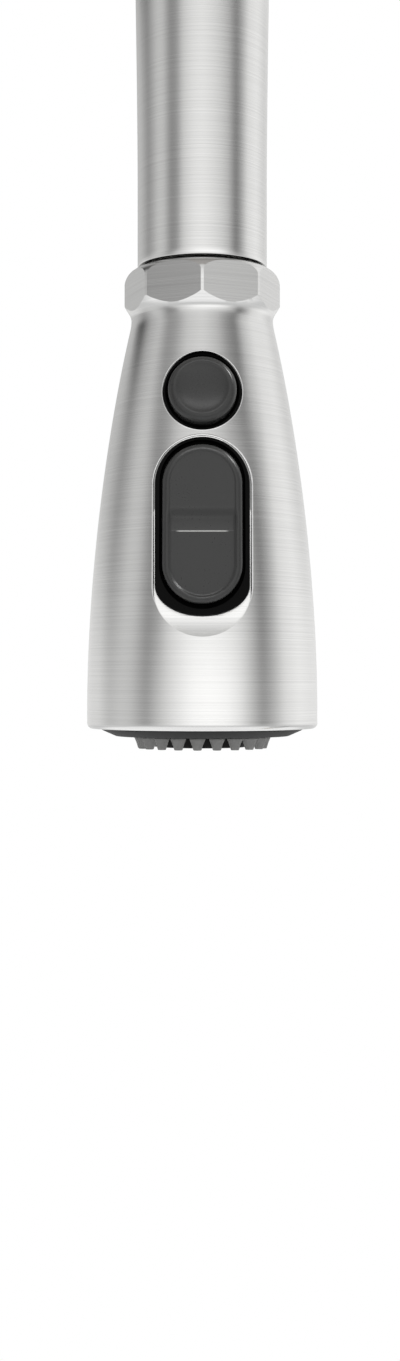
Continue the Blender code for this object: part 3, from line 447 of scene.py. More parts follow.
@dataclass
class Shader:
    """A material or world's node tree, with one way to add a node."""

    tree: bpy.types.NodeTree

    def node(self, kind: str, settings: Optional[dict[str, Any]] = None, **sockets: Any) -> bpy.types.Node:
        """Adds a node.

        Args:
            kind: the node's type without its ShaderNode prefix.
            settings: properties set first; "stops" holds a ramp's (position, colour) pairs.
            sockets: inputs by name with underscores for spaces, each a value, a Value or an output.

        Returns:
            The node.
        """
        made = self.tree.nodes.new("ShaderNode" + kind)
        for name, value in (settings or {}).items():
            if name == "stops":
                ramp = made.color_ramp
                while len(ramp.elements) < len(value):
                    ramp.elements.new(0.5)
                for element, (position, colour) in zip(ramp.elements, value):
                    element.position = position
                    element.color = (*colour, 1)
            else:
                setattr(made, name, value)
        self.feed(made, **sockets)
        return made

    def feed(self, node: bpy.types.Node, **sockets: Any) -> None:
        """Links or sets a node's inputs.

        Args:
            node: the node.
            sockets: inputs by name with underscores for spaces, each a value, a Value or an output.
        """
        for name, value in sockets.items():
            key = name.replace("_", " ")
            target = next(entry for entry in node.inputs if entry.name == key and entry.enabled)
            if isinstance(value, Value):
                self.tree.links.new(value.socket, target)
            elif isinstance(value, bpy.types.NodeSocket):
                self.tree.links.new(value, target)
            else:
                target.default_value = value

    def value(self, kind: str, output: str, settings: Optional[dict[str, Any]] = None, **sockets: Any) -> Value:
        """Adds a node and wraps one of its outputs."""
        made = self.node(kind, settings, **sockets)
        return Value(self.tree, next(entry for entry in made.outputs if entry.name == output and entry.enabled))

    def place(self) -> tuple[Value, Value, Value]:
        """The object coordinates x, y and z."""
        split = self.node("SeparateXYZ", Vector=self.node("TexCoord").outputs["Object"])
        return tuple(Value(self.tree, split.outputs[axis]) for axis in "XYZ")

    def vector(self, x: Number, y: Number, z: Number) -> bpy.types.NodeSocket:
        """A vector from three numbers."""
        return self.node("CombineXYZ", X=x, Y=y, Z=z).outputs[0]

    def noise(self, where: bpy.types.NodeSocket, scale: float, detail: float = 2, rough: float = 0.5) -> Value:
        """A noise pattern's value."""
        return self.value("TexNoise", "Fac", None, Vector=where, Scale=scale, Detail=detail, Roughness=rough)

    def tint(self, low: Tint, high: Tint, factor: Union[Number, bpy.types.NodeSocket]) -> bpy.types.NodeSocket:
        """A colour between two, each a plain colour or an output."""
        ends = [end if isinstance(end, bpy.types.NodeSocket) else (*end, 1) for end in (low, high)]
        return self.node("Mix", {"data_type": "RGBA"}, Factor=factor, A=ends[0], B=ends[1]).outputs["Result"]


class Brush(Enum):
    """Which way a brushed surface was turned against the belt."""

    TURNED = "about Z"
    ARCH = "round the gooseneck's arch"
    BODY = "about Z, and about Y on the boss"
    SIDE = "about Y"
    LEVER = "along the lever"


def blank(name: str) -> tuple[bpy.types.Material, Shader, bpy.types.Node]:
    """A new material with its tree and its Principled shader."""
    made = bpy.data.materials.new(name)
    made.use_nodes = True
    return made, Shader(made.node_tree), made.node_tree.nodes["Principled BSDF"]


@dataclass(frozen=True)
class BrushedSteel:
    """Stainless steel with fine belt lines, which run round the piece."""

    name: str
    brush: Brush
    colour: tuple[float, float, float] = (0.725, 0.725, 0.72)
    roughness: float = 0.2
    axis: Point = (0.0, 0.0)

    def along(self, shader: Shader) -> tuple[Value, Value, Value]:
        """The coordinate that the lines are spaced along, and the two that they run through."""
        x, y, z = shader.place()
        if self.brush is Brush.ARCH:
            turn = (z - ARCH_Z).maths("ARCTAN2", x + ARCH_R)
            reach = ((x + ARCH_R) * (x + ARCH_R) + (z - ARCH_Z) * (z - ARCH_Z)).maths("SQRT")
            return turn * ARCH_R, reach, y
        if self.brush is Brush.BODY:
            boss = (-1 * y).step(25.4 * MM, 25.8 * MM)
            return z * (1 - boss) + y * boss, x, y * (1 - boss) + z * boss
        if self.brush is Brush.SIDE:
            return y, x, z
        if self.brush is Brush.LEVER:
            return x, y, z
        return z, x, y

    def make(self) -> bpy.types.Material:
        """The finished material."""
        made, shader, steel = blank(self.name)
        along, across, depth = self.along(shader)
        fine = shader.noise(shader.vector(along * 5000, across * 14, depth * 14), 1, 2, 0.65)
        broad = shader.noise(shader.vector(along * 1700, across * 6, depth * 6), 1, 2, 0.6)
        cloud = shader.noise(shader.vector(along * 22, across * 30, depth * 30), 1, 2, 0.5)
        line = (fine - 0.5) * 1.35 + (broad - 0.5) * 0.25
        dark = tuple(part * 0.88 for part in self.colour)
        light = tuple(min(1.0, part * 1.12) for part in self.colour)
        tint = shader.tint(dark, light, (line + (cloud - 0.5) * 0.25 + 0.5).maths("ADD", 0.0, clamp=True))
        rough = (line * 0.045 + (cloud - 0.5) * 0.06 + self.roughness).maths("MAXIMUM", 0.08)
        bump = shader.node("Bump", None, Strength=0.22, Distance=0.03 * MM, Height=line)
        shader.feed(steel, Base_Color=tint, Roughness=rough, Normal=bump.outputs[0], Metallic=1)
        return made


@dataclass(frozen=True)
class Moulded:
    """Moulded plastic, rubber or silicone, with a fine grain and faint mottling.

    The painted glint is a painted highlight: a lighter line along X, by its middle, half its length and half its
    thickness, standing in for the light that a crisp edge catches.
    """

    name: str
    colour: tuple[float, float, float]
    roughness: float = 0.4
    specular: float = 0.5
    grain: float = 0.03
    scale: float = 2600
    painted_glint: Optional[tuple[Vector, float, float]] = None

    def make(self) -> bpy.types.Material:
        """The finished material."""
        made, shader, plastic = blank(self.name)
        where = shader.node("TexCoord").outputs["Object"]
        grain = shader.noise(where, self.scale, 3, 0.6)
        cloud = shader.noise(where, 60, 2, 0.5)
        dark = tuple(part * 0.88 for part in self.colour)
        light = tuple(min(1.0, part * 1.1) for part in self.colour)
        colour = shader.tint(dark, light, cloud * 0.7 + grain * 0.3)
        if self.painted_glint:
            # Painted highlight: a lighter grey line mixed into the base colour where the rocker's groove edge would
            # catch the light.
            spot, long, thick = self.painted_glint
            x, _, z = shader.place()
            along = (x - spot.x).maths("ABSOLUTE").step(long, long * 0.8)
            across = (z - spot.z).maths("ABSOLUTE").step(thick, 0)
            colour = shader.tint(colour, (0.34, 0.34, 0.33), along * across)
        rough = (grain - 0.5) * 0.16 + (cloud - 0.5) * 0.08 + self.roughness
        bump = shader.node("Bump", None, Strength=0.25, Distance=self.grain * MM, Height=grain)
        shader.feed(plastic, Base_Color=colour, Roughness=rough, Normal=bump.outputs[0])
        shader.feed(plastic, Specular_IOR_Level=self.specular)
        return made


@dataclass(frozen=True)
class Machined:
    """Bare or plated metal with turning marks and a little tarnish."""

    name: str
    colour: tuple[float, float, float]
    stain: tuple[float, float, float]
    roughness: float = 0.3

    def make(self) -> bpy.types.Material:
        """The finished material."""
        made, shader, metal = blank(self.name)
        x, y, z = shader.place()
        marks = shader.noise(shader.vector(x * 40, y * 40, z * 2400), 1, 2, 0.5)
        cloud = shader.noise(shader.node("TexCoord").outputs["Object"], 90, 4, 0.6)
        tint = shader.tint(self.colour, self.stain, cloud.step(0.45, 0.8))
        rough = (marks - 0.5) * 0.14 + (cloud - 0.5) * 0.2 + self.roughness
        bump = shader.node("Bump", None, Strength=0.2, Distance=0.03 * MM, Height=marks)
        shader.feed(metal, Base_Color=tint, Roughness=rough, Normal=bump.outputs[0], Metallic=1)
        return made


@dataclass(frozen=True)
class BraidedSleeve:
    """The woven sleeve of the pull-out hose: two sets of crossing strands about the hose's axis."""

    name: str
    axis: float
    colour: tuple[float, float, float] = (0.16, 0.16, 0.165)
    strands: int = 14
    pitch: float = 3.1 * MM

    def make(self) -> bpy.types.Material:
        """The finished material."""
        made, shader, sleeve = blank(self.name)
        x, y, z = shader.place()
        turn = y.maths("ARCTAN2", x - self.axis) * (self.strands / TURN)
        rise = z / self.pitch
        right = ((turn + rise) * TURN).maths("SINE")
        left = ((turn - rise) * TURN).maths("SINE")
        over = (right * left).maths("MULTIPLY", 0.5) + 0.5
        height = right.maths("ABSOLUTE") * over + left.maths("ABSOLUTE") * (1 - over)
        dark = tuple(part * 0.35 for part in self.colour)
        tint = shader.tint(dark, self.colour, height)
        bump = shader.node("Bump", None, Strength=0.7, Distance=0.35 * MM, Height=height)
        shader.feed(sleeve, Base_Color=tint, Roughness=0.62 - height * 0.18, Normal=bump.outputs[0])
        return made


class Finishes:
    """The faucet's materials, each made once."""

    def __init__(self) -> None:
        """Makes every finish."""
        grey, black = (0.021, 0.0212, 0.021), (0.0022, 0.0022, 0.0022)
        self.head = BrushedSteel("brushed steel, turned", Brush.TURNED).make()
        self.arch = BrushedSteel("brushed steel, arch", Brush.ARCH).make()
        self.body = BrushedSteel("brushed steel, body", Brush.BODY).make()
        self.side = BrushedSteel("brushed steel, valve", Brush.SIDE).make()
        self.lever = BrushedSteel("brushed steel, lever", Brush.LEVER).make()
        self.rim = BrushedSteel("polished steel rim", Brush.TURNED, (0.86, 0.86, 0.86), 0.12).make()
        self.grey = Moulded("dark grey button", grey, 0.3, 0.42, 0.012).make()
        # Where the painted highlight line sits on the rocker: its middle, half its length and half its thickness.
        edge = Vector((-REACH, 0, SEAM_Z + GROOVE_EDGE)), 5.8 * MM, 0.2 * MM
        self.pads = Moulded("dark grey rocker, painted highlight line", grey, 0.3, 0.42, 0.012, painted_glint=edge).make()
        self.black = Moulded("black surround", black, 0.5, 0.06, 0.02).make()
        self.face = Moulded("black spray face", (0.007, 0.0072, 0.0072), 0.5, 0.12, 0.03).make()
        self.silicone = Moulded("grey silicone", (0.17, 0.17, 0.167), 0.55, 0.35, 0.02).make()
        self.rubber = Moulded("black rubber", (0.014, 0.014, 0.014), 0.7, 0.35, 0.05).make()
        self.plastic = Moulded("natural plastic", (0.7, 0.69, 0.65), 0.42, 0.5, 0.02).make()
        self.filter = Moulded("blue-grey plastic", (0.24, 0.32, 0.45), 0.45, 0.5, 0.02).make()
        self.ceramic = Moulded("lapped ceramic", (0.82, 0.8, 0.75), 0.16, 0.6, 0.004).make()
        self.brass = Machined("machined brass", (0.71, 0.53, 0.25), (0.5, 0.34, 0.15), 0.26).make()
        self.copper = Machined("drawn copper", (0.82, 0.43, 0.28), (0.5, 0.25, 0.16), 0.28).make()
        self.zinc = Machined("zinc plate", (0.62, 0.64, 0.66), (0.45, 0.46, 0.47), 0.34).make()
        self.chrome = Machined("nickel plate", (0.8, 0.79, 0.76), (0.72, 0.7, 0.66), 0.13).make()
        self.spring = Machined("spring wire", (0.5, 0.5, 0.51), (0.36, 0.35, 0.34), 0.25).make()
        self.magnet = Machined("plated magnet", (0.2, 0.2, 0.21), (0.13, 0.13, 0.13), 0.35).make()
        self.run_braid = BraidedSleeve("braided sleeve, spout end", -REACH).make()
        self.tail_braid = BraidedSleeve("braided sleeve, deck end", 0.0).make()


# ---- Pieces --------------------------------------------------------------------------------------------------------
@dataclass
class Assembly:
    """A group of pieces with the finishes they are dressed in."""

    finishes: Finishes

    def dress(
        self,
        piece: bpy.types.Object,
        finish: bpy.types.Material,
        body: str,
        slot: str,
        nodes: Iterable[str] = (),
        stretch: Optional[tuple[str, Vector, Vector]] = None,
    ) -> bpy.types.Object:
        """Gives a piece its finish, parents it to the body it rides on unless it stretches, and hides the CAD nodes
        it stands for.

        Args:
            piece: the finished object.
            finish: its material.
            body: the body it moves with.
            slot: the record's material slot; not used.
            nodes: CAD nodes that it replaces.
            stretch: for a piece that reaches to a second body, that body, and where it starts and ends; when given,
                the piece is left unparented with its place baked into its mesh.

        Returns:
            The piece.
        """
        piece.data.materials.clear()
        piece.data.materials.append(finish)
        if stretch:
            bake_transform(piece)
        else:
            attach(piece, body)
        names = list(nodes)
        if names:
            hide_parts(*names)
        LOG.info("%s rides on %s, for %s", piece.name, body, ", ".join(names) or "no node of its own")
        return piece


@dataclass
class SprayHead(Assembly):
    """The spray head. Heights are from the seam, and depths from the head's axis."""

    corner_r: float = 17.55 * MM
    bell_top: Point = (16.12 * MM, -14.28 * MM)
    bell_handle: Point = (20.6 * MM, -33.5 * MM)
    bell_foot_z: float = -100 * MM
    bell_foot_handle: float = 33.37 * MM
    bell_r: float = 25.79 * MM
    lip_z: float = -103.3 * MM
    button_z: float = -30.6 * MM
    button_tilt: float = math.radians(10.8)
    button_hole_r: float = 8.53 * MM
    button_hole_tall: float = 1.035
    button_r: float = 7.35 * MM
    rocker_r: float = 8.5 * MM
    rocker_ends: Point = (-50.9 * MM, -68.0 * MM)
    rocker_face: float = 24.5 * MM
    rocker_lean: float = 0.125
    bezel_r: float = 10.05 * MM
    bezel_low: float = -72.4 * MM
    bezel_flat: float = 0.65
    pocket_r: float = 10.5 * MM
    pocket_low: float = -72.9 * MM
    pocket_floor: float = 20.8 * MM
    nozzles: int = 20
    nozzle_ring_r: float = 13.6 * MM
    nozzle_phase: float = math.radians(-4.5)
    button_spring: Point = (-8.1 * MM, -4.5 * MM)
    check_spring: Point = (-27.3 * MM, -15.2 * MM)
    rocker_middle: float = field(init=False)

    def __post_init__(self) -> None:
        """Works out the rocker's middle height."""
        self.rocker_middle = sum(self.rocker_ends) / 2

    def bell(self, steps: int) -> list[Point]:
        """Points down the bell's outline."""
        handle = (self.bell_r, self.bell_foot_z + self.bell_foot_handle)
        return curve((self.bell_top, self.bell_handle, handle, (self.bell_r, self.bell_foot_z)), steps)

    def radius(self, height: float) -> float:
        """The bell's radius at a height."""
        outline = self.bell(200)
        for (upper_r, upper), (lower_r, lower) in zip(outline, outline[1:]):
            if lower <= height <= upper:
                return upper_r + (lower_r - upper_r) * (upper - height) / (upper - lower)
        return self.bell_r if height < self.bell_foot_z else self.bell_top[0]

    def shell(self) -> None:
        """The steel shell: octagonal collar, neck, bell and lip, with its pocket and two openings."""
        collar = [
            (12.6, -0.85), (12.8, -0.75), (14.3, -0.75), (14.6, -0.85), (15.2, -1.15), (15.75, -1.45), (16.25, -1.8),
            (16.7, -2.25), (17.05, -2.75), (17.3, -3.3), (17.42, -3.9), (17.42, -5.2), (17.42, -6.4), (17.42, -7.6),
            (17.42, -8.75), (17.1, -9.3), (16.65, -9.95), (16.25, -10.65), (15.99, -11.3), (15.87, -11.95),
            (15.88, -12.6), (15.95, -13.3),
        ]  # fmt: skip
        outline = mm(collar) + self.bell(120)
        outline += [(self.bell_r, self.bell_foot_z - 0.9 * MM), (self.bell_r, self.bell_foot_z - 1.8 * MM)]
        outline += arc((self.bell_r - 1.2 * MM, self.lip_z + 1.2 * MM), 1.2 * MM, 0, -90, 8)
        outline += [
            (23.3 * MM, self.lip_z), (23.0 * MM, self.lip_z + 0.25 * MM), (22.9 * MM, -96 * MM),
            (18.5 * MM, -95 * MM), (18.5 * MM, -60 * MM), (12.6 * MM, -22 * MM),
        ]  # fmt: skip
        shell = link("head_shell_skin", placed(spin(outline, 240), Matrix.Rotation(TURN / 480, 4, "Z")), 28)
        carve(shell, spin(oblong(self.corner_r, 24 * MM, -12.3 * MM, 1.4 * MM), 8), sharp=FACET)
        carve(shell, self.pocket(), sharp=FACET)
        ends = self.rocker_ends[0], self.bezel_low
        window = obround(self.bezel_r + 0.1 * MM, *ends, 48, self.bezel_flat)
        carve(shell, bar(window, 10 * MM, PAST_FRONT), sharp=FACET)
        hole = oblong(0, self.button_hole_r, -12 * MM, 10 * MM)
        carve(shell, placed(spin(hole, 96), self.button_place() @ self.tall()), sharp=FACET)
        bpy.context.view_layer.update()
        shell.data.transform(HEAD_PLACE)
        self.dress(shell, self.finishes.head, "head", "steel", ["head_shell"])

    def pocket(self) -> bmesh.types.BMesh:
        """The tool that cuts the pocket, whose floor sinks slightly towards its foot."""
        shape = bar(obround(self.pocket_r, self.rocker_ends[0], self.pocket_low, 48), self.pocket_floor, PAST_FRONT)
        start, end = self.bezel_low - self.bezel_r * self.bezel_flat, self.pocket_low - self.pocket_r
        slice_rows(shape, [start + (end - start) * step / 16 for step in range(16)])
        for vert in shape.verts:
            if vert.co.y > -self.pocket_floor - NEAR and vert.co.z < start:
                share = (start - vert.co.z) / (start - end)
                vert.co.y += (0.2 * share + 0.36 * share * share) * MM
        return shape

    def tall(self) -> Matrix:
        """Makes a round hole for the button slightly taller than wide."""
        return Matrix.Scale(self.button_hole_tall, 4, (0, 1, 0))

    def button_place(self) -> Matrix:
        """Where the round button's axis meets the bell, with its local Z outwards."""
        spot = Matrix.Translation((0, -self.radius(self.button_z), self.button_z))
        return spot @ Matrix.Rotation(math.pi / 2 - self.button_tilt, 4, "X")

    def rims(self) -> None:
        """The thin polished edges of the two openings, which follow the bell."""
        outline = obround(self.pocket_r + 0.06 * MM, self.rocker_ends[0], self.pocket_low, 60)
        flat = self.even([Vector((x, 0, z)) for x, z in outline])
        path = [Vector((p.x, -math.sqrt(self.radius(p.z) ** 2 - p.x**2) + 0.06 * MM, p.z)) for p in flat]
        foot = self.pocket_low - self.pocket_r
        radii = [(0.03 + 0.22 * smooth(point.z, foot + 6 * MM, foot + 12 * MM)) * MM for point in path]
        pocket = link("pocket_rim", placed(bead(path, radii), HEAD_PLACE), 60)
        self.dress(pocket, self.finishes.rim, "head", "steel")
        place = self.button_place()
        ring = []
        for step in range(120):
            turn = TURN * step / 120
            edge = self.button_hole_r + 0.1 * MM
            spot = place @ self.tall() @ Vector((edge * math.cos(turn), edge * math.sin(turn), 0))
            ring.append(Vector((spot.x, -math.sqrt(self.radius(spot.z) ** 2 - spot.x**2) + 0.04 * MM, spot.z)))
        rim = link("button_hole_rim", placed(bead(ring, [0.15 * MM] * len(ring)), HEAD_PLACE), 60)
        self.dress(rim, self.finishes.rim, "head", "steel")

    @staticmethod
    def even(path: Sequence[Vector], spacing: float = 0.5 * MM) -> list[Vector]:
        """A closed path's points, with more put in where they are far apart."""
        dense = []
        for start, end in zip(path, list(path[1:]) + [path[0]]):
            count = max(1, round((end - start).length / spacing))
            if (end - start).length > 1e-6:
                dense += [start.lerp(end, step / count) for step in range(count)]
        return dense

    def button(self) -> None:
        """The round button with its dished face, and the black cup round it."""
        r, proud = self.button_r, 1.8 * MM
        face = [(0, -9.9 * MM), (2.2 * MM, -9.9 * MM), (2.2 * MM, -4.2 * MM), (r, -4.2 * MM), (r, proud - 1.3 * MM)]
        face += [(r + (x - 1.5) * MM, proud + (z - 1.5) * MM) for x, z in arc((0, 0), 1.5, 15, 70, 10)]
        dish = [
            (6.15, -0.03), (5.95, 0.0), (5.75, -0.02), (5.5, -0.1), (5.25, -0.2), (4.95, -0.3), (4.55, -0.4),
            (4.0, -0.52), (3.3, -0.64), (2.5, -0.73), (1.6, -0.8), (0.8, -0.83), (0, -0.84),
        ]  # fmt: skip
        face += [(x * MM, proud + z * MM) for x, z in dish]
        cap = link("round_button_cap", placed(spin(face, 96), HEAD_PLACE @ self.button_place()), 50)
        self.dress(cap, self.finishes.grey, "button", "grey", ["round_button"])
        outer = self.button_hole_r - 0.12 * MM
        cup = [(2.6 * MM, -9.6 * MM), (outer, -9.6 * MM), (outer, -0.9 * MM), (outer - 0.45 * MM, -0.7 * MM)]
        cup += [(r + 0.3 * MM, -1.1 * MM), (r + 0.3 * MM, -8.4 * MM), (2.6 * MM, -8.4 * MM)]
        ring = link("button_cup_ring", placed(spin(cup, 96), HEAD_PLACE @ self.button_place() @ self.tall()))
        self.dress(ring, self.finishes.black, "head", "black", ["button_cup"])

    def inside(self, x: float, z: float, ends: Point, radius: float, flat: float = 1.0) -> float:
        """How far a point of the front view is inside an obround's edge."""
        nearest = min(max(z, ends[1]), ends[0])
        tall = flat if z < nearest else 1.0
        return radius - math.hypot(x, (z - nearest) / tall)

    def pad(
        self, radius: float, ends: Point, back: float, front: float, insets: Sequence[float], flat: float = 1.0
    ) -> bmesh.types.BMesh:
        """An obround pad whose front is cut finely enough to be shaped.

        Args:
            radius: radius of its round ends.
            ends: heights of their centres.
            back: depth of its back from the head's axis.
            front: depth of its front.
            insets: distances between the loops that run inside its edge.
            flat: the lower end's depth as a share of the radius.

        Returns:
            The pad as a bmesh.
        """
        shape = bar(obround(radius, *ends, 40, flat), back, front)
        shape.faces.ensure_lookup_table()
        middle = -(front + back) / 2
        cap = [face for face in shape.faces if len(face.verts) > 8 and face.calc_center_median().y < middle]
        for gap in insets:
            bmesh.ops.inset_region(shape, faces=cap, thickness=gap, use_even_offset=True)
        low, high = ends[1] - radius * flat, ends[0] + radius
        count = round((high - low) / (0.35 * MM))
        slice_rows(shape, [low + (high - low) * step / count for step in range(1, count)])
        return shape

    def rocker(self) -> None:
        """The two-pad rocker: rounded rim, soft groove with a crisp lower edge, flat lower pad."""
        ends = self.rocker_ends
        front = 22.6 * MM
        shape = self.pad(self.rocker_r, ends, 19.1 * MM, front, [gap * MM for gap in RIM_GAPS])
        groove_top, groove_floor, groove_edge = -55.6 * MM, -58.6 * MM, GROOVE_EDGE
        slice_rows(shape, [groove_edge + step * 0.08 * MM for step in range(-4, 5)])
        for vert in shape.verts:
            if vert.co.y > NEAR - front:
                continue
            x, z = vert.co.x, vert.co.z
            depth = self.inside(x, z, ends, self.rocker_r)
            edge = 1.5 * MM
            rise = math.sqrt(max(0.0, 1 - (1 - min(depth, edge) / edge) ** 2)) * 1.15 * MM
            field_dip = smooth(depth, 1.3 * MM, 1.7 * MM) * 0.22 * MM
            hollow = 0.0
            if groove_floor < z < groove_top:
                hollow = 0.36 * (1 - math.cos(math.pi * (groove_top - z) / (groove_top - groove_floor)))
            elif z <= groove_floor:
                share = min(1.0, (groove_floor - z) / (groove_floor - groove_edge))
                hollow = 0.72 - 0.3 * share**1.3
            sunk = hollow * MM * smooth(depth, 0.8 * MM, 2.1 * MM)
            ridge = 0.04 * MM * max(0.0, 1 - abs(z - groove_edge) / (0.24 * MM)) * smooth(depth, 1.9 * MM, 2.4 * MM)
            lean = self.rocker_lean * (self.rocker_middle - z)
            vert.co.y = -(self.rocker_face - 1 * MM + rise - field_dip - sunk + ridge + lean)
        cap = link("rocker_cap", placed(shape, HEAD_PLACE), 40)
        self.dress(cap, self.finishes.pads, "rocker", "grey", ["rocker_button"])

    def bezel(self) -> None:
        """The black surround that the rocker moves in."""
        ends = self.rocker_ends[0], self.bezel_low
        gaps = [0.12 * MM, 0.2 * MM, 0.25 * MM]
        front = 21 * MM
        shape = self.pad(self.bezel_r, ends, 17.4 * MM, front, gaps, self.bezel_flat)
        for vert in shape.verts:
            if vert.co.y > NEAR - front:
                continue
            depth = self.inside(vert.co.x, vert.co.z, ends, self.bezel_r, self.bezel_flat)
            soft = 0.5 * MM
            rise = math.sqrt(max(0.0, 1 - (1 - min(depth, soft) / soft) ** 2)) * 0.45 * MM
            vert.co.y = -(22.55 * MM + rise + 0.11 * (self.rocker_middle - vert.co.z))
        ring = link("rocker_bezel_ring", shape, 40)
        well = self.rocker_ends[0] + 0.45 * MM, self.rocker_ends[1] - 0.45 * MM
        carve(ring, bar(obround(self.rocker_r + 0.6 * MM, *well, 40), 8 * MM, PAST_FRONT))
        ring.data.transform(HEAD_PLACE)
        self.dress(ring, self.finishes.black, "head", "black", ["rocker_bezel"])
        wall = obround(self.bezel_r - 0.5 * MM, *ends, 24, self.bezel_flat)
        back = link("rocker_well_back", bar(wall, 16.6 * MM, 17.3 * MM))
        carve(back, bar(oblong(-3.2 * MM, 3.2 * MM, -63 * MM, -55 * MM), 0, 30 * MM))
        back.data.transform(HEAD_PLACE)
        self.dress(back, self.finishes.black, "head", "black")

    def around(self, outline: Sequence[Point], steps: int) -> bmesh.types.BMesh:
        """One turned shape at each nozzle's place."""
        shape = bmesh.new()
        for place in range(self.nozzles):
            turn = self.nozzle_phase + TURN * place / self.nozzles
            spot = (self.nozzle_ring_r * math.sin(turn), -self.nozzle_ring_r * math.cos(turn), 0)
            merge(shape, placed(spin(outline, steps), Matrix.Translation(spot)))
        return shape

    def spray_face(self) -> None:
        """The black face, the ring of nozzles and the aerator."""
        face = [(10.3, -102), (10.3, -104.9), (10.5, -105.0), (19.2, -105.0), (19.45, -104.96), (19.7, -104.85)]
        face += [(22.2, -103.75), (22.6, -103.5), (22.75, -103.1), (22.75, -96.5), (18.1, -96.5), (18.1, -102.0)]
        skin = link("spray_face_skin", spin(mm(face), 128))
        carve(skin, self.around(oblong(0, 1.45 * MM, -107 * MM, -100 * MM), 20))
        skin.data.transform(HEAD_PLACE)
        self.dress(skin, self.finishes.face, "head", "face", ["spray_face"])
        nozzle = [
            (0, -106.3), (0.42, -106.3), (0.45, -107.6), (0.58, -107.78), (0.76, -107.8), (0.88, -107.72),
            (0.96, -107.5), (1.14, -106.9), (1.38, -106.2), (1.58, -105.75), (1.7, -105.5), (1.74, -105.32),
            (1.66, -105.15), (1.1, -105.1), (1.1, -101.4), (0, -101.4),
        ]  # fmt: skip
        tips = link("nozzle_tips", self.around(mm(nozzle), 28), 50)
        plate = soft_ring(10.3 * MM, 17.7 * MM, -101.7 * MM, -100.3 * MM)
        carve(tips, spin(plate, 96), "UNION")
        tips.data.transform(HEAD_PLACE)
        self.dress(tips, self.finishes.silicone, "head", "silicone", ["nozzle_ring"])
        wall = [(7.6, -107.3), (7.8, -107.5), (9.5, -107.5), (9.85, -107.4), (10.0, -107.1), (10.0, -94), (8.6, -94)]
        wall += [(8.6, -105.5), (7.6, -105.5)]
        aerator = link("aerator_ring", spin(mm(wall), 96))
        aerator.data.transform(HEAD_PLACE)
        self.dress(aerator, self.finishes.face, "head", "face", ["aerator_housing"])
        screen = link("aerator_screen", spin(oblong(0, 8.3 * MM, -105.2 * MM, -98.5 * MM), 64))
        holes = bmesh.new()
        for row in range(-4, 5):
            for column in range(-4, 5):
                x, y = (column + (row % 2) / 2) * 1.55 * MM, row * 1.35 * MM
                if math.hypot(x, y) < 6.6 * MM:
                    hole = oblong(0, 0.55 * MM, -107 * MM, -103.5 * MM)
                    merge(holes, placed(spin(hole, 6), Matrix.Translation((x, y, 0))))
        carve(screen, holes)
        screen.data.transform(HEAD_PLACE)
        self.dress(screen, self.finishes.filter, "head", "filter", ["aerator_insert"])

    def dock(self) -> None:
        """The black spigot and the plated magnet that hold the head in the spout's end."""
        spigot = soft_ring(9.8 * MM, 12.9 * MM, 0.1 * MM - SEAM_DROP, 4 * MM, 0.8 * MM)
        magnet = soft_ring(9.8 * MM, 12.6 * MM, 4.3 * MM, 7.5 * MM)
        for name, section, slot in (("dock_spigot", spigot, "black"), ("head_magnet", magnet, "magnet")):
            ring = link(name + "_ring", placed(spin(section, 96), HEAD_PLACE))
            self.dress(ring, getattr(self.finishes, slot), "head", slot, [name])

    def springs(self) -> None:
        """The button's spring and the check valve's, each held at one end by the head."""
        tilted = HEAD_PLACE @ self.button_place()
        for name, body, place, ends, radii, turns in (
            ("button_spring", "button", tilted, self.button_spring, (3.5 * MM, 0.22 * MM), 3.25),
            ("check_spring", "check_valve", HEAD_PLACE, self.check_spring, (2.3 * MM, 0.2 * MM), 4),
        ):
            spring = link(name + "_coil", placed(coil(*radii, *ends, turns), place))
            low, high = (place @ Vector((0, 0, end)) for end in ends)
            self.dress(spring, self.finishes.spring, "head", "spring", [name], (body, low, high))

    def build(self) -> None:
        """Every visible piece of the head."""
        self.shell()
        self.rims()
        self.button()
        self.rocker()
        self.bezel()
        self.spray_face()
        self.dock()
        self.springs()


RIM_GAPS = (0.1, 0.12, 0.14, 0.16, 0.2, 0.2, 0.2, 0.23, 0.15, 0.15, 0.2, 0.3)


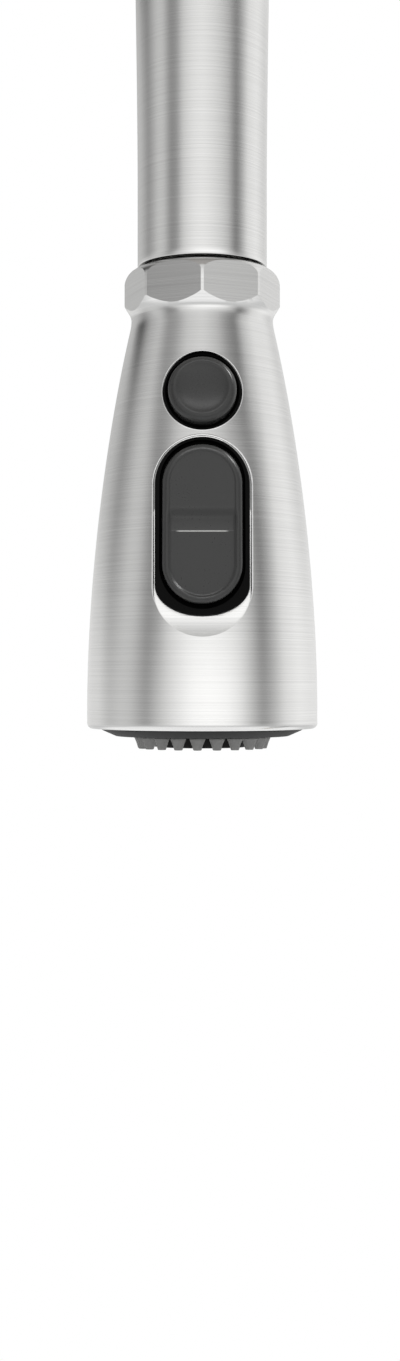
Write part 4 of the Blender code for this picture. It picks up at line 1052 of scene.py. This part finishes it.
@dataclass
class Spout(Assembly):
    """The gooseneck, in three pieces that meet flush, and the hose inside it."""

    wall: float = 1.2 * MM
    sides: int = 96
    riser_foot: float = 82 * MM
    hose_r: float = 6.2 * MM
    hose_end: float = -108 * MM
    ferrule_top: float = 24 * MM

    def tube(self, outline: Sequence[Point]) -> list[Point]:
        """A tube's closed section from its outside line, with the wall inwards."""
        return list(outline) + [(radius - self.wall, height) for radius, height in reversed(outline)]

    def leg(self) -> None:
        """The straight leg down to the dock, drawn in towards its end, which has a rounded edge."""
        tip = SEAM_Z + SEAM_GAP - SEAM_DROP
        outline = [(TIP_R - 0.25 * MM, tip), (TIP_R - 0.07 * MM, tip + 0.07 * MM), (TIP_R, tip + 0.25 * MM)]
        for step in range(1, 41):
            height = tip + (ARCH_Z - tip) * step / 40
            share = max(0.0, (height - tip - 19 * MM) / (ARCH_Z - tip - 19 * MM))
            outline.append((TIP_R + (SPOUT_R - TIP_R) * share**1.5, height))
        leg = link("spout_leg", placed(spin(self.tube(outline), self.sides), Matrix.Translation((-REACH, 0, 0))))
        self.dress(leg, self.finishes.head, "spout", "steel", ["spout_tube"])

    def swept(self, radius: float, hollow: bool, sides: int, steps: int) -> bmesh.types.BMesh:
        """A section swept round the arch from the leg's top to the riser's."""
        shape = bmesh.new()
        for size in (radius, radius - self.wall) if hollow else (radius,):
            place = Matrix.Translation((-REACH, 0, ARCH_Z))
            made = bmesh.ops.create_circle(shape, segments=sides, radius=size, matrix=place)
            edges = list({edge for vert in made["verts"] for edge in vert.link_edges})
            bmesh.ops.spin(
                shape,
                geom=made["verts"] + edges,
                cent=(-ARCH_R, 0, ARCH_Z),
                axis=(0, 1, 0),
                angle=math.pi,
                steps=steps,
                use_merge=False,
            )
        return shape

    def arch(self) -> None:
        """The half-round arch."""
        shape = self.swept(SPOUT_R, True, self.sides, 96)
        for end in (-REACH, 0.0):
            rim = [edge for edge in shape.edges if edge.is_boundary and abs(edge.verts[0].co.x - end) < SPOUT_R * 1.1]
            bmesh.ops.bridge_loops(shape, edges=rim)
        bmesh.ops.recalc_face_normals(shape, faces=shape.faces)
        arch = link("spout_arch", shape)
        arch.visible_glossy = False
        self.dress(arch, self.finishes.arch, "spout", "steel")

    def riser(self) -> None:
        """The riser, from the arch down into the body."""
        outline = [(SPOUT_R, self.riser_foot + (ARCH_Z - self.riser_foot) * step / 24) for step in range(25)]
        riser = link("spout_riser", spin(self.tube(outline), self.sides))
        riser.visible_glossy = False
        self.dress(riser, self.finishes.head, "spout", "steel")

    def hose(self) -> None:
        """The braided hose: fitting, ferrule, the run that pulls out, and the rest of it."""
        fitting = [(4, -8), (7.6, -8), (8, -7.7), (8, -6), (6.6, -5.9), (6.6, -4.1), (8, -4), (8, 0.6), (9.0, 1.2)]
        fitting += [(9.2, 1.5), (9.2, 6.2), (8.9, 6.6), (7.6, 7.6), (4, 7.6)]
        nut = link("hose_fitting_turned", placed(spin(mm(fitting), 64), HEAD_PLACE))
        self.dress(nut, self.finishes.brass, "hose_end", "brass", ["hose_fitting"])
        ferrule = [(4, 7.9), (7.2, 7.9), (7.6, 8.3)]
        for ring in range(3):
            foot = 11 + ring * 4
            ferrule += [(7.6, foot), (7.25, foot + 0.4), (7.25, foot + 1.2), (7.6, foot + 1.6)]
        ferrule += [(7.6, 23.2), (7.3, 23.8), (6.8, 24), (4, 24)]
        sleeve = link("hose_ferrule_crimped", placed(spin(mm(ferrule), 64), HEAD_PLACE))
        self.dress(sleeve, self.finishes.chrome, "hose_end", "chrome", ["hose_ferrule"])
        low, high = SEAM_Z + self.ferrule_top + 0.3 * MM, ARCH_Z - 0.3 * MM
        line = [(self.hose_r, low + (high - low) * step / 60) for step in range(61)]
        run = [(4 * MM, low)] + line + [(4 * MM, high)]
        hose = link("hose_run_braid", placed(spin(run, 64), Matrix.Translation((-REACH, 0, 0))))
        reach = "hose_end", Vector((-REACH, 0, high)), Vector((-REACH, 0, low))
        self.dress(hose, self.finishes.run_braid, "spout", "braid", ["hose_run"], reach)
        rest = self.swept(self.hose_r, False, 48, 64)
        feet = [edge for edge in rest.edges if edge.is_boundary and abs(edge.verts[0].co.x) < SPOUT_R]
        for height in (ARCH_Z * 0.6, 0.08, 0.0, -0.06, self.hose_end):
            made = bmesh.ops.extrude_edge_only(rest, edges=feet)
            verts = [item for item in made["geom"] if isinstance(item, bmesh.types.BMVert)]
            feet = [item for item in made["geom"] if isinstance(item, bmesh.types.BMEdge)]
            bmesh.ops.translate(rest, verts=verts, vec=(0, 0, height - verts[0].co.z))
        bmesh.ops.holes_fill(rest, edges=[edge for edge in rest.edges if edge.is_boundary])
        bmesh.ops.recalc_face_normals(rest, faces=rest.faces)
        tail = link("hose_rest_braid", rest)
        tail.visible_glossy = False
        self.dress(tail, self.finishes.tail_braid, "spout", "braid", ["hose_upper"])
        nut_outline = soft_ring(6.5 * MM, 8.5 * MM, self.hose_end + 4 * MM, self.hose_end + 17 * MM, 0.8 * MM)
        coupling = link("hose_coupling_nut", spin(nut_outline, 6))
        carve(coupling, spin(soft_ring(8.05 * MM, 12 * MM, -96 * MM, -80 * MM), 48))
        self.dress(coupling, self.finishes.brass, "spout", "brass", ["hose_coupling"])

    def build(self) -> None:
        """Every piece of the spout."""
        self.leg()
        self.arch()
        self.riser()
        self.hose()


@dataclass
class Body(Assembly):
    """The turned body with its boss, the flange below it and the swivel's bushes."""

    foot_z: float = 8.2 * MM
    foot_r: float = 26.5 * MM
    neck: Point = (18.3 * MM, 100 * MM)
    collar_r: float = 19.55 * MM
    boss_r: float = 20.5 * MM
    boss_end: float = 50 * MM

    def casting(self) -> None:
        """The body: tapered foot, octagonal collar, and the boss for the valve."""
        low, high = (self.foot_r, self.foot_z + 34 * MM), (self.neck[0] + 3 * MM, self.neck[1] - 26 * MM)
        outline = [(16.8 * MM, self.foot_z), (self.foot_r - 1 * MM, self.foot_z)]
        outline += arc((self.foot_r - 1 * MM, self.foot_z + 1 * MM), 1 * MM, -80, 0, 6)
        outline += curve(((self.foot_r, self.foot_z + 2 * MM), low, high, self.neck), 60)
        collar = [(18.25, 100.8), (18.3, 101.5), (18.6, 102.4), (19.2, 103.3), (19.5, 104), (19.5, 106), (19.5, 109)]
        collar += [(19.35, 110), (18.9, 111.6), (18.3, 113), (17.9, 113.7), (17.5, 114), (16.9, 114), (16.6, 113.7)]
        outline += mm(collar) + [(16.6 * MM, 78 * MM), (13.6 * MM, 78 * MM)]
        outline += [(13.6 * MM, 24 * MM), (16.8 * MM, 24 * MM)]
        body = link("faucet_body_skin", spin(outline, 160), 30)
        corner = self.collar_r + 0.13 * MM
        carve(body, spin(oblong(corner, 26 * MM, 99.5 * MM, 116 * MM), 8), sharp=FACET)
        boss = [(0, 14.5 * MM), (self.boss_r, 14.5 * MM), (self.boss_r, self.boss_end - 0.9 * MM)]
        boss += arc((self.boss_r - 0.9 * MM, self.boss_end - 0.9 * MM), 0.9 * MM, 10, 90, 6) + [(0, self.boss_end)]
        carve(body, placed(spin(boss, 128), valve_frame()), "UNION", 20)
        bore = oblong(0, 18.3 * MM, 19 * MM, 55 * MM)
        carve(body, placed(spin(bore, 96), valve_frame()), sharp=20)
        self.dress(body, self.finishes.body, "base", "steel", ["faucet_body"])

    def foot(self) -> None:
        """The deck flange and its gasket."""
        flange = [(16.8, 0.9), (27.2, 0.9), (27.5, 1.2), (27.5, 3.2), (27.35, 3.75), (27.1, 4.2), (26.85, 5.0)]
        flange += [(26.7, 6.4), (26.5, 7.6), (26.2, 7.9), (16.8, 7.9)]
        ring = link("deck_flange_ring", spin(mm(flange), 128))
        self.dress(ring, self.finishes.head, "base", "steel", ["deck_flange"])
        gasket = link("flange_gasket_ring", spin(soft_ring(17 * MM, 27 * MM, 0, 0.6 * MM, 0.15 * MM), 96))
        self.dress(gasket, self.finishes.rubber, "base", "rubber", ["flange_gasket"])

    def bushes(self) -> None:
        """The two bushes that the spout turns in."""
        for name, low in (("upper_bush", 104.4 * MM), ("lower_bush", 83 * MM)):
            section = soft_ring(15.3 * MM, 16.3 * MM, low, low + 9 * MM, 0.3 * MM)
            bush = link(name + "_ring", spin(section, 96))
            self.dress(bush, self.finishes.black, "base", "plastic", [name])

    def build(self) -> None:
        """Every piece of the body."""
        self.casting()
        self.foot()
        self.bushes()


@dataclass
class Valve(Assembly):
    """The domed cover over the cartridge, and the lever on its stem."""

    pivot: float = 44 * MM
    rest: float = math.radians(11)
    dome_r: float = 20.2 * MM
    hub_r: float = 24 * MM
    hub_angle: float = 54
    lever_length: float = 92 * MM
    lean: float = math.radians(17)

    def cover(self) -> None:
        """The fixed dome that the lever's hub slides over."""
        low = 50.3 * MM - self.pivot
        start = math.degrees(math.asin(low / self.dome_r))
        outside = arc((0, 0), self.dome_r, start, 64, 28)
        inner = self.dome_r - 1.5 * MM
        inside = arc((0, 0), inner, math.degrees(math.asin(low / inner)), 62, 24)
        dome = link("valve_cover_dome", placed(spin(outside + inside[::-1], 128), valve_frame(0, self.pivot)))
        self.dress(dome, self.finishes.side, "base", "steel", ["valve_cover"])

    def lever(self) -> None:
        """The lever: a hub turned to the dome's curve, and a slim blade that flares and thins towards its end."""
        turns = arc((0, 0), self.hub_r, 90, 90 - self.hub_angle, 40)
        foot = self.hub_r * math.cos(math.radians(self.hub_angle))
        edge = self.hub_r * math.sin(math.radians(self.hub_angle))
        outline = [(max(0.0, x), y) for x, y in turns[:-1]]
        outline += [(edge - 0.05 * MM, foot + 0.12 * MM), (edge - 0.35 * MM, foot), (0, foot)]
        lever = link("lever_handle_skin", spin(outline, 128), 30)
        carve(lever, self.blade(), "UNION", 24)
        ball = [(max(0.0, x), y) for x, y in arc((0, 0), self.dome_r + 0.6 * MM, 90, -90, 64)]
        carve(lever, spin(ball, 128), sharp=24)
        plug = oblong(0, 1.5 * MM, 4 * MM, 26 * MM)
        drill = Matrix.Translation((0, 0, self.dome_r + 2.5 * MM)) @ Matrix.Rotation(math.pi / 2, 4, "X")
        carve(lever, placed(spin(plug, 32), drill), sharp=24)
        lever.data.transform(valve_frame(self.rest, self.pivot))
        self.dress(lever, self.finishes.lever, "lever", "steel", ["lever_handle"])

    def blade(self) -> bmesh.types.BMesh:
        """The blade: a rounded section drawn along the lever, one section at a time."""
        shape = bmesh.new()
        made = bmesh.ops.create_circle(shape, cap_ends=True, segments=48, radius=1)
        for vert in made["verts"]:
            vert.co.x = math.copysign(abs(vert.co.x) ** 0.75, vert.co.x)
            vert.co.y = math.copysign(abs(vert.co.y) ** 0.75, vert.co.y)
        start = Vector((0, 6 * MM, self.hub_r - 2.6 * MM))
        along = Vector((0, math.cos(self.lean), math.sin(self.lean)))
        turn = along.to_track_quat("Z", "Y").to_matrix().to_4x4()
        sections = [BLADE[0]] + blend_sections(BLADE, 30)
        unit = {vert: vert.co.copy() for vert in made["verts"]}
        ring = list(made["verts"])
        for number, (share, wide, thick) in enumerate(sections):
            if number:
                cap = next(face for face in shape.faces if set(face.verts) == set(ring))
                grown = bmesh.ops.extrude_face_region(shape, geom=[cap])
                fresh = [item for item in grown["geom"] if isinstance(item, bmesh.types.BMVert)]
                match = {vert: min(ring, key=lambda old: (old.co - vert.co).length) for vert in fresh}
                unit = {vert: unit[match[vert]] for vert in fresh}
                ring = fresh
            place = Matrix.Translation(start + along * self.lever_length * share) @ turn
            for vert in ring:
                flat = unit[vert]
                vert.co = place @ Vector((flat.x * wide * MM, flat.y * thick * MM, 0))
        bmesh.ops.recalc_face_normals(shape, faces=shape.faces)
        return shape

    def build(self) -> None:
        """Every visible piece of the valve."""
        self.cover()
        self.lever()


BLADE = (
    (0.0, 7.5, 4.6), (0.12, 6.6, 4.2), (0.4, 5.6, 3.4), (0.75, 5.9, 2.8), (0.93, 6.05, 2.5), (0.975, 5.5, 2.1),
    (0.993, 4.4, 1.55), (1.0, 3.0, 1.0),
)  # fmt: skip


def blend_sections(sections: Sequence[tuple[float, float, float]], count: int) -> list[tuple[float, float, float]]:
    """Sections between the given ones, eased so that their sides run on smoothly."""
    run = []
    for first, last in zip(sections, sections[1:]):
        parts = max(2, round(count * (last[0] - first[0])))
        for step in range(1, parts + 1):
            share = step / parts
            eased = smooth(share, 0, 1) if last[0] < 0.94 else share
            shares = (share, eased, eased)
            run.append(tuple(start + (end - start) * part for start, end, part in zip(first, last, shares)))
    return run


@dataclass
class Mounting(Assembly):
    """What goes through the deck and clamps it: threaded shank, washers, nut, jack screws and tubes."""

    shank_r: float = 16.4 * MM
    shank_end: float = -70 * MM
    deck: float = 40 * MM
    screw_x: float = 21.3 * MM
    tubes: tuple[tuple[str, float, float], ...] = (
        ("hot_inlet", -10 * MM, 0.0),
        ("cold_inlet", 10 * MM, 0.0),
        ("valve_outlet", 0.0, -10 * MM),
    )

    def shank(self) -> None:
        """The brass shank, with a cut thread below the body."""
        pitch = 1.5 * MM
        outline = [(13.8 * MM, self.shank_end), (self.shank_r - 0.9 * MM, self.shank_end)]
        height = self.shank_end + 0.9 * MM
        while height < -1 * MM:
            outline += [(self.shank_r - 0.75 * MM, height), (self.shank_r, height + pitch * 0.42)]
            outline += [(self.shank_r, height + pitch * 0.58)]
            height += pitch
        outline += [(self.shank_r - 0.75 * MM, height), (self.shank_r, height + 0.5 * MM), (self.shank_r, 23.7 * MM)]
        outline += [(13.8 * MM, 23.7 * MM)]
        shank = link("mounting_shank_thread", spin(outline, 96), 25)
        self.dress(shank, self.finishes.brass, "base", "brass", ["mounting_shank"])

    def clamp(self) -> None:
        """Washers, nut and the two screws that push them up."""
        bore, top = 16.7 * MM, -self.deck
        for name, slot, ends in (
            ("rubber_washer", "rubber", (top - 3 * MM, top)),
            ("steel_washer", "zinc", (top - 5.8 * MM, top - 3.3 * MM)),
        ):
            washer = link(name + "_ring", spin(soft_ring(bore, 27 * MM, *ends, 0.4 * MM), 96))
            self.dress(washer, getattr(self.finishes, slot), "base", slot, [name])
        high, low = top - 6.1 * MM, top - 18.1 * MM
        nut = link("mounting_nut_hex", spin(oblong(bore, 26 * MM, low, high), 6))
        cone = [(24.2, -2), (27.5, -2), (27.5, 14), (24.2, 14), (26.3, 11.2), (26.3, 0.8)]
        carve(nut, placed(spin(mm(cone), 96), Matrix.Translation((0, 0, low))), sharp=20)
        screws = bmesh.new()
        for side in (-1, 1):
            spot = Matrix.Translation((side * self.screw_x, 0, 0))
            merge(screws, placed(spin(oblong(0, 2.2 * MM, low - 2 * MM, high + 2 * MM), 32), spot))
        carve(nut, screws, sharp=20)
        self.dress(nut, self.finishes.brass, "base", "brass", ["mounting_nut"])
        for name, side in (("jack_screw_left", -1), ("jack_screw_right", 1)):
            outline = [(0, -66 * MM)] + arc((3.2 * MM, -65.2 * MM), 0.8 * MM, -90, 0, 5)
            outline += arc((3.2 * MM, -60 * MM), 0.8 * MM, 0, 90, 5) + [(2 * MM, -59.2 * MM)]
            height = -58.6 * MM
            while height < high - 0.9 * MM:
                outline += [(1.65 * MM, height), (2 * MM, height + 0.35 * MM)]
                height += 0.7 * MM
            outline += [(1.6 * MM, high - 0.3 * MM), (0, high - 0.3 * MM)]
            screw = link(name + "_turned", spin(outline, 32), 25)
            slot = 0.5 * MM
            carve(screw, bar(oblong(-slot, slot, -67 * MM, -64.6 * MM), -6 * MM, 6 * MM), sharp=25)
            screw.data.transform(Matrix.Translation((side * self.screw_x, 0, 0)))
            self.dress(screw, self.finishes.zinc, "base", "zinc", [name])

    def pipes(self) -> None:
        """The copper tubes that hang out of the shank, each with a formed bead near its end."""
        for name, x, y in self.tubes:
            outline = [(2.4, -88), (3.05, -88), (3.2, -87.8), (3.2, -80.2)]
            outline += [(3.2 + 0.28 * math.sin(math.pi * step / 8), -80.2 + step * 0.2) for step in range(1, 8)]
            outline += [(3.2, -78.6), (3.2, 50), (2.4, 50)]
            shape = placed(spin(mm(outline), 48), Matrix.Translation((x, y, 0)))
            self.dress(link(name + "_tube", shape), self.finishes.copper, "base", "copper", [name])

    def build(self) -> None:
        """Every piece below the deck."""
        self.shank()
        self.clamp()
        self.pipes()


def dress_inner_nodes(finishes: Finishes) -> None:
    """Gives each CAD node that stays as it is the finish of its slot."""
    names = ("spring", "plastic", "filter", "rubber", "ceramic", "brass", "zinc", "magnet", "black")
    looks = {name: getattr(finishes, name) for name in names} | {"pin": finishes.spring}
    slots = {entry["node"]: entry["material_slot"] for entry in frame["record"]["subparts"]}
    for name, node in frame["nodes"].items():
        look = looks.get(slots[name])
        if look is not None:
            node.data.materials.clear()
            node.data.materials.append(look)
            LOG.info("%s keeps its CAD shape", name)


# ---- Studio --------------------------------------------------------------------------------------------------------
class Glow(Enum):
    """Brightness round the studio at one height, as (bearing in degrees, level) pairs; 0 is behind the camera."""

    LOW = (
        (-180, 0.84), (-125, 0.88), (-104, 0.64), (-88, 0.74), (-76, 0.7), (-57, 0.35), (-44, 0.7), (-28, 1.04),
        (-10, 1.38), (8, 1.46), (25, 1.38), (38, 1.12), (48, 0.75), (62, 0.33), (76, 0.62), (90, 0.98), (112, 1.14),
        (140, 1.0), (180, 0.84),
    )  # fmt: skip
    MIDDLE = (
        (-180, 0.6), (-138, 0.62), (-123, 0.5), (-110, 0.36), (-97, 0.5), (-84, 0.72), (-72, 0.7), (-56, 0.27),
        (-45, 0.34), (-34, 0.8), (-16, 1.02), (0, 1.08), (16, 0.99), (34, 0.84), (46, 0.68), (62, 0.16),
        (74, 0.5), (87, 0.96), (110, 1.07), (136, 0.82), (180, 0.8),
    )  # fmt: skip
    HIGH = (
        (-180, 0.54), (-148, 0.4), (-130, 0.04), (-114, 0.08), (-97, 0.5), (-76, 0.7), (-58, 0.34), (-44, 0.42),
        (-26, 0.74), (0, 0.86), (24, 0.66), (40, 0.38), (56, 0.2), (70, 0.7), (90, 1.0), (120, 1.0), (180, 0.8),
    )  # fmt: skip


@dataclass
class Studio:
    """Camera, soft surrounding light and a pale floor."""

    eye: tuple[float, float, float] = (-0.2105, -0.393, 0.1954)
    lens: float = 46.29
    floor_z: float = -0.3
    floor_r: float = 0.85

    def camera(self) -> None:
        """A level camera in front of the spray head."""
        data = bpy.data.cameras.new("camera")
        data.lens = self.lens
        data.sensor_width = 36
        data.clip_start = 0.01
        view = bpy.data.objects.new("camera", data)
        view.location = self.eye
        view.rotation_euler = (math.pi / 2, 0, 0)
        bpy.context.scene.collection.objects.link(view)
        bpy.context.scene.camera = view

    def bands(self, shader: Shader, bearing: Value, glow: Glow) -> bpy.types.NodeSocket:
        """The studio's brightness at one height, by bearing as a share of a turn."""
        stops = [(degrees / 360 + 0.5, (level, level * 0.997, level * 0.99)) for degrees, level in glow.value]
        return shader.node("ValToRGB", {"stops": stops}, Fac=bearing).outputs[0]

    def surround(self) -> None:
        """Soft light all round, with the tall dark gaps between panels that steel shows as upright bands."""
        world = bpy.data.worlds.new("studio")
        bpy.context.scene.world = world
        world.use_nodes = True
        shader = Shader(world.node_tree)
        back = world.node_tree.nodes["Background"]
        split = shader.node("SeparateXYZ", Vector=shader.node("TexCoord").outputs["Generated"])
        x, y, z = (Value(shader.tree, split.outputs[axis]) for axis in "XYZ")
        bearing = x.maths("ARCTAN2", -1 * y) / TURN + 0.5
        look = self.bands(shader, bearing, Glow.LOW)
        for low, high, above in (
            (0.02, 0.2, self.bands(shader, bearing, Glow.MIDDLE)),
            (0.32, 0.42, self.bands(shader, bearing, Glow.HIGH)),
            (0.68, 0.9, (0.43, 0.415, 0.4)),
        ):
            look = shader.tint(look, above, z.step(low, high))
        under = shader.tint((1.15, 1.15, 1.15), (0.75, 0.75, 0.75), z.step(-0.6, -0.42))
        look = shader.tint(under, look, z.step(-0.3, 0.0))
        ray = shader.node("LightPath").outputs
        soft = shader.tint((0.2, 0.2, 0.2), (2.1, 2.1, 2.1), z.step(-0.3, 0.65))
        look = shader.tint(look, soft, ray["Is Diffuse Ray"])
        look = shader.tint(look, (1, 1, 1), ray["Is Camera Ray"])
        shader.feed(back, Color=look)
        bpy.context.scene.view_settings.view_transform = "Standard"

    def snoot(self, piece: bpy.types.Object, spot: Vector, size: tuple[float, float], power: float) -> None:
        """A narrow light that falls on one piece alone.

        Args:
            piece: the piece that it lights.
            spot: where it hangs.
            size: its width and height.
            power: its power in watts.
        """
        data = bpy.data.lights.new(piece.name + " light", "AREA")
        data.shape = "RECTANGLE"
        data.size, data.size_y = size
        data.energy = power
        light = bpy.data.objects.new(piece.name + " light", data)
        light.location = spot
        light.rotation_euler = (Vector((-REACH, 0, SEAM_Z - 0.05)) - spot).to_track_quat("-Z", "Y").to_euler()
        bpy.context.scene.collection.objects.link(light)
        lit = bpy.data.collections.new(piece.name + " lit")
        lit.objects.link(piece)
        light.light_linking.receiver_collection = lit

    def light_buttons(self) -> None:
        """Lights each button from above and from the upper right."""
        above, right = Vector((-0.2, -0.45, 0.77)), Vector((0.255, -0.13, 0.81))
        for name, size, power in (("round_button_cap", (0.5, 0.11), 0.5), ("rocker_cap", (0.5, 0.03), 1.1)):
            piece = bpy.data.objects[name]
            self.snoot(piece, above, size, power)
            self.snoot(piece, right, (0.11, 0.11), 2.0)

    def floor(self) -> None:
        """A pale round floor, well below the deck."""
        shape = bmesh.new()
        place = Matrix.Translation((0, 0, self.floor_z))
        bmesh.ops.create_circle(shape, cap_ends=True, segments=96, radius=self.floor_r, matrix=place)
        floor = link("studio_floor", shape)
        made, shader, pale = blank("pale floor")
        cloud = shader.noise(shader.node("TexCoord").outputs["Object"], 3, 2, 0.5)
        tint = shader.tint((0.86, 0.86, 0.86), (0.9, 0.9, 0.9), cloud)
        shader.feed(pale, Base_Color=tint, Roughness=0.9, Emission_Color=(1, 1, 1, 1), Emission_Strength=0.3)
        floor.data.materials.append(made)
        floor.visible_glossy = False

    def build(self) -> None:
        """Camera, surrounding light and floor."""
        self.camera()
        self.surround()
        self.floor()


def main() -> None:
    """Builds the faucet's looks in order."""
    logging.basicConfig(level=logging.INFO, format="%(name)s: %(message)s")
    studio = Studio()
    studio.build()
    finishes = Finishes()
    for assembly in (SprayHead, Spout, Body, Valve, Mounting):
        assembly(finishes).build()
        LOG.info("%s done", assembly.__name__)
    dress_inner_nodes(finishes)
    studio.light_buttons()


if __name__ == "__main__":
    main()
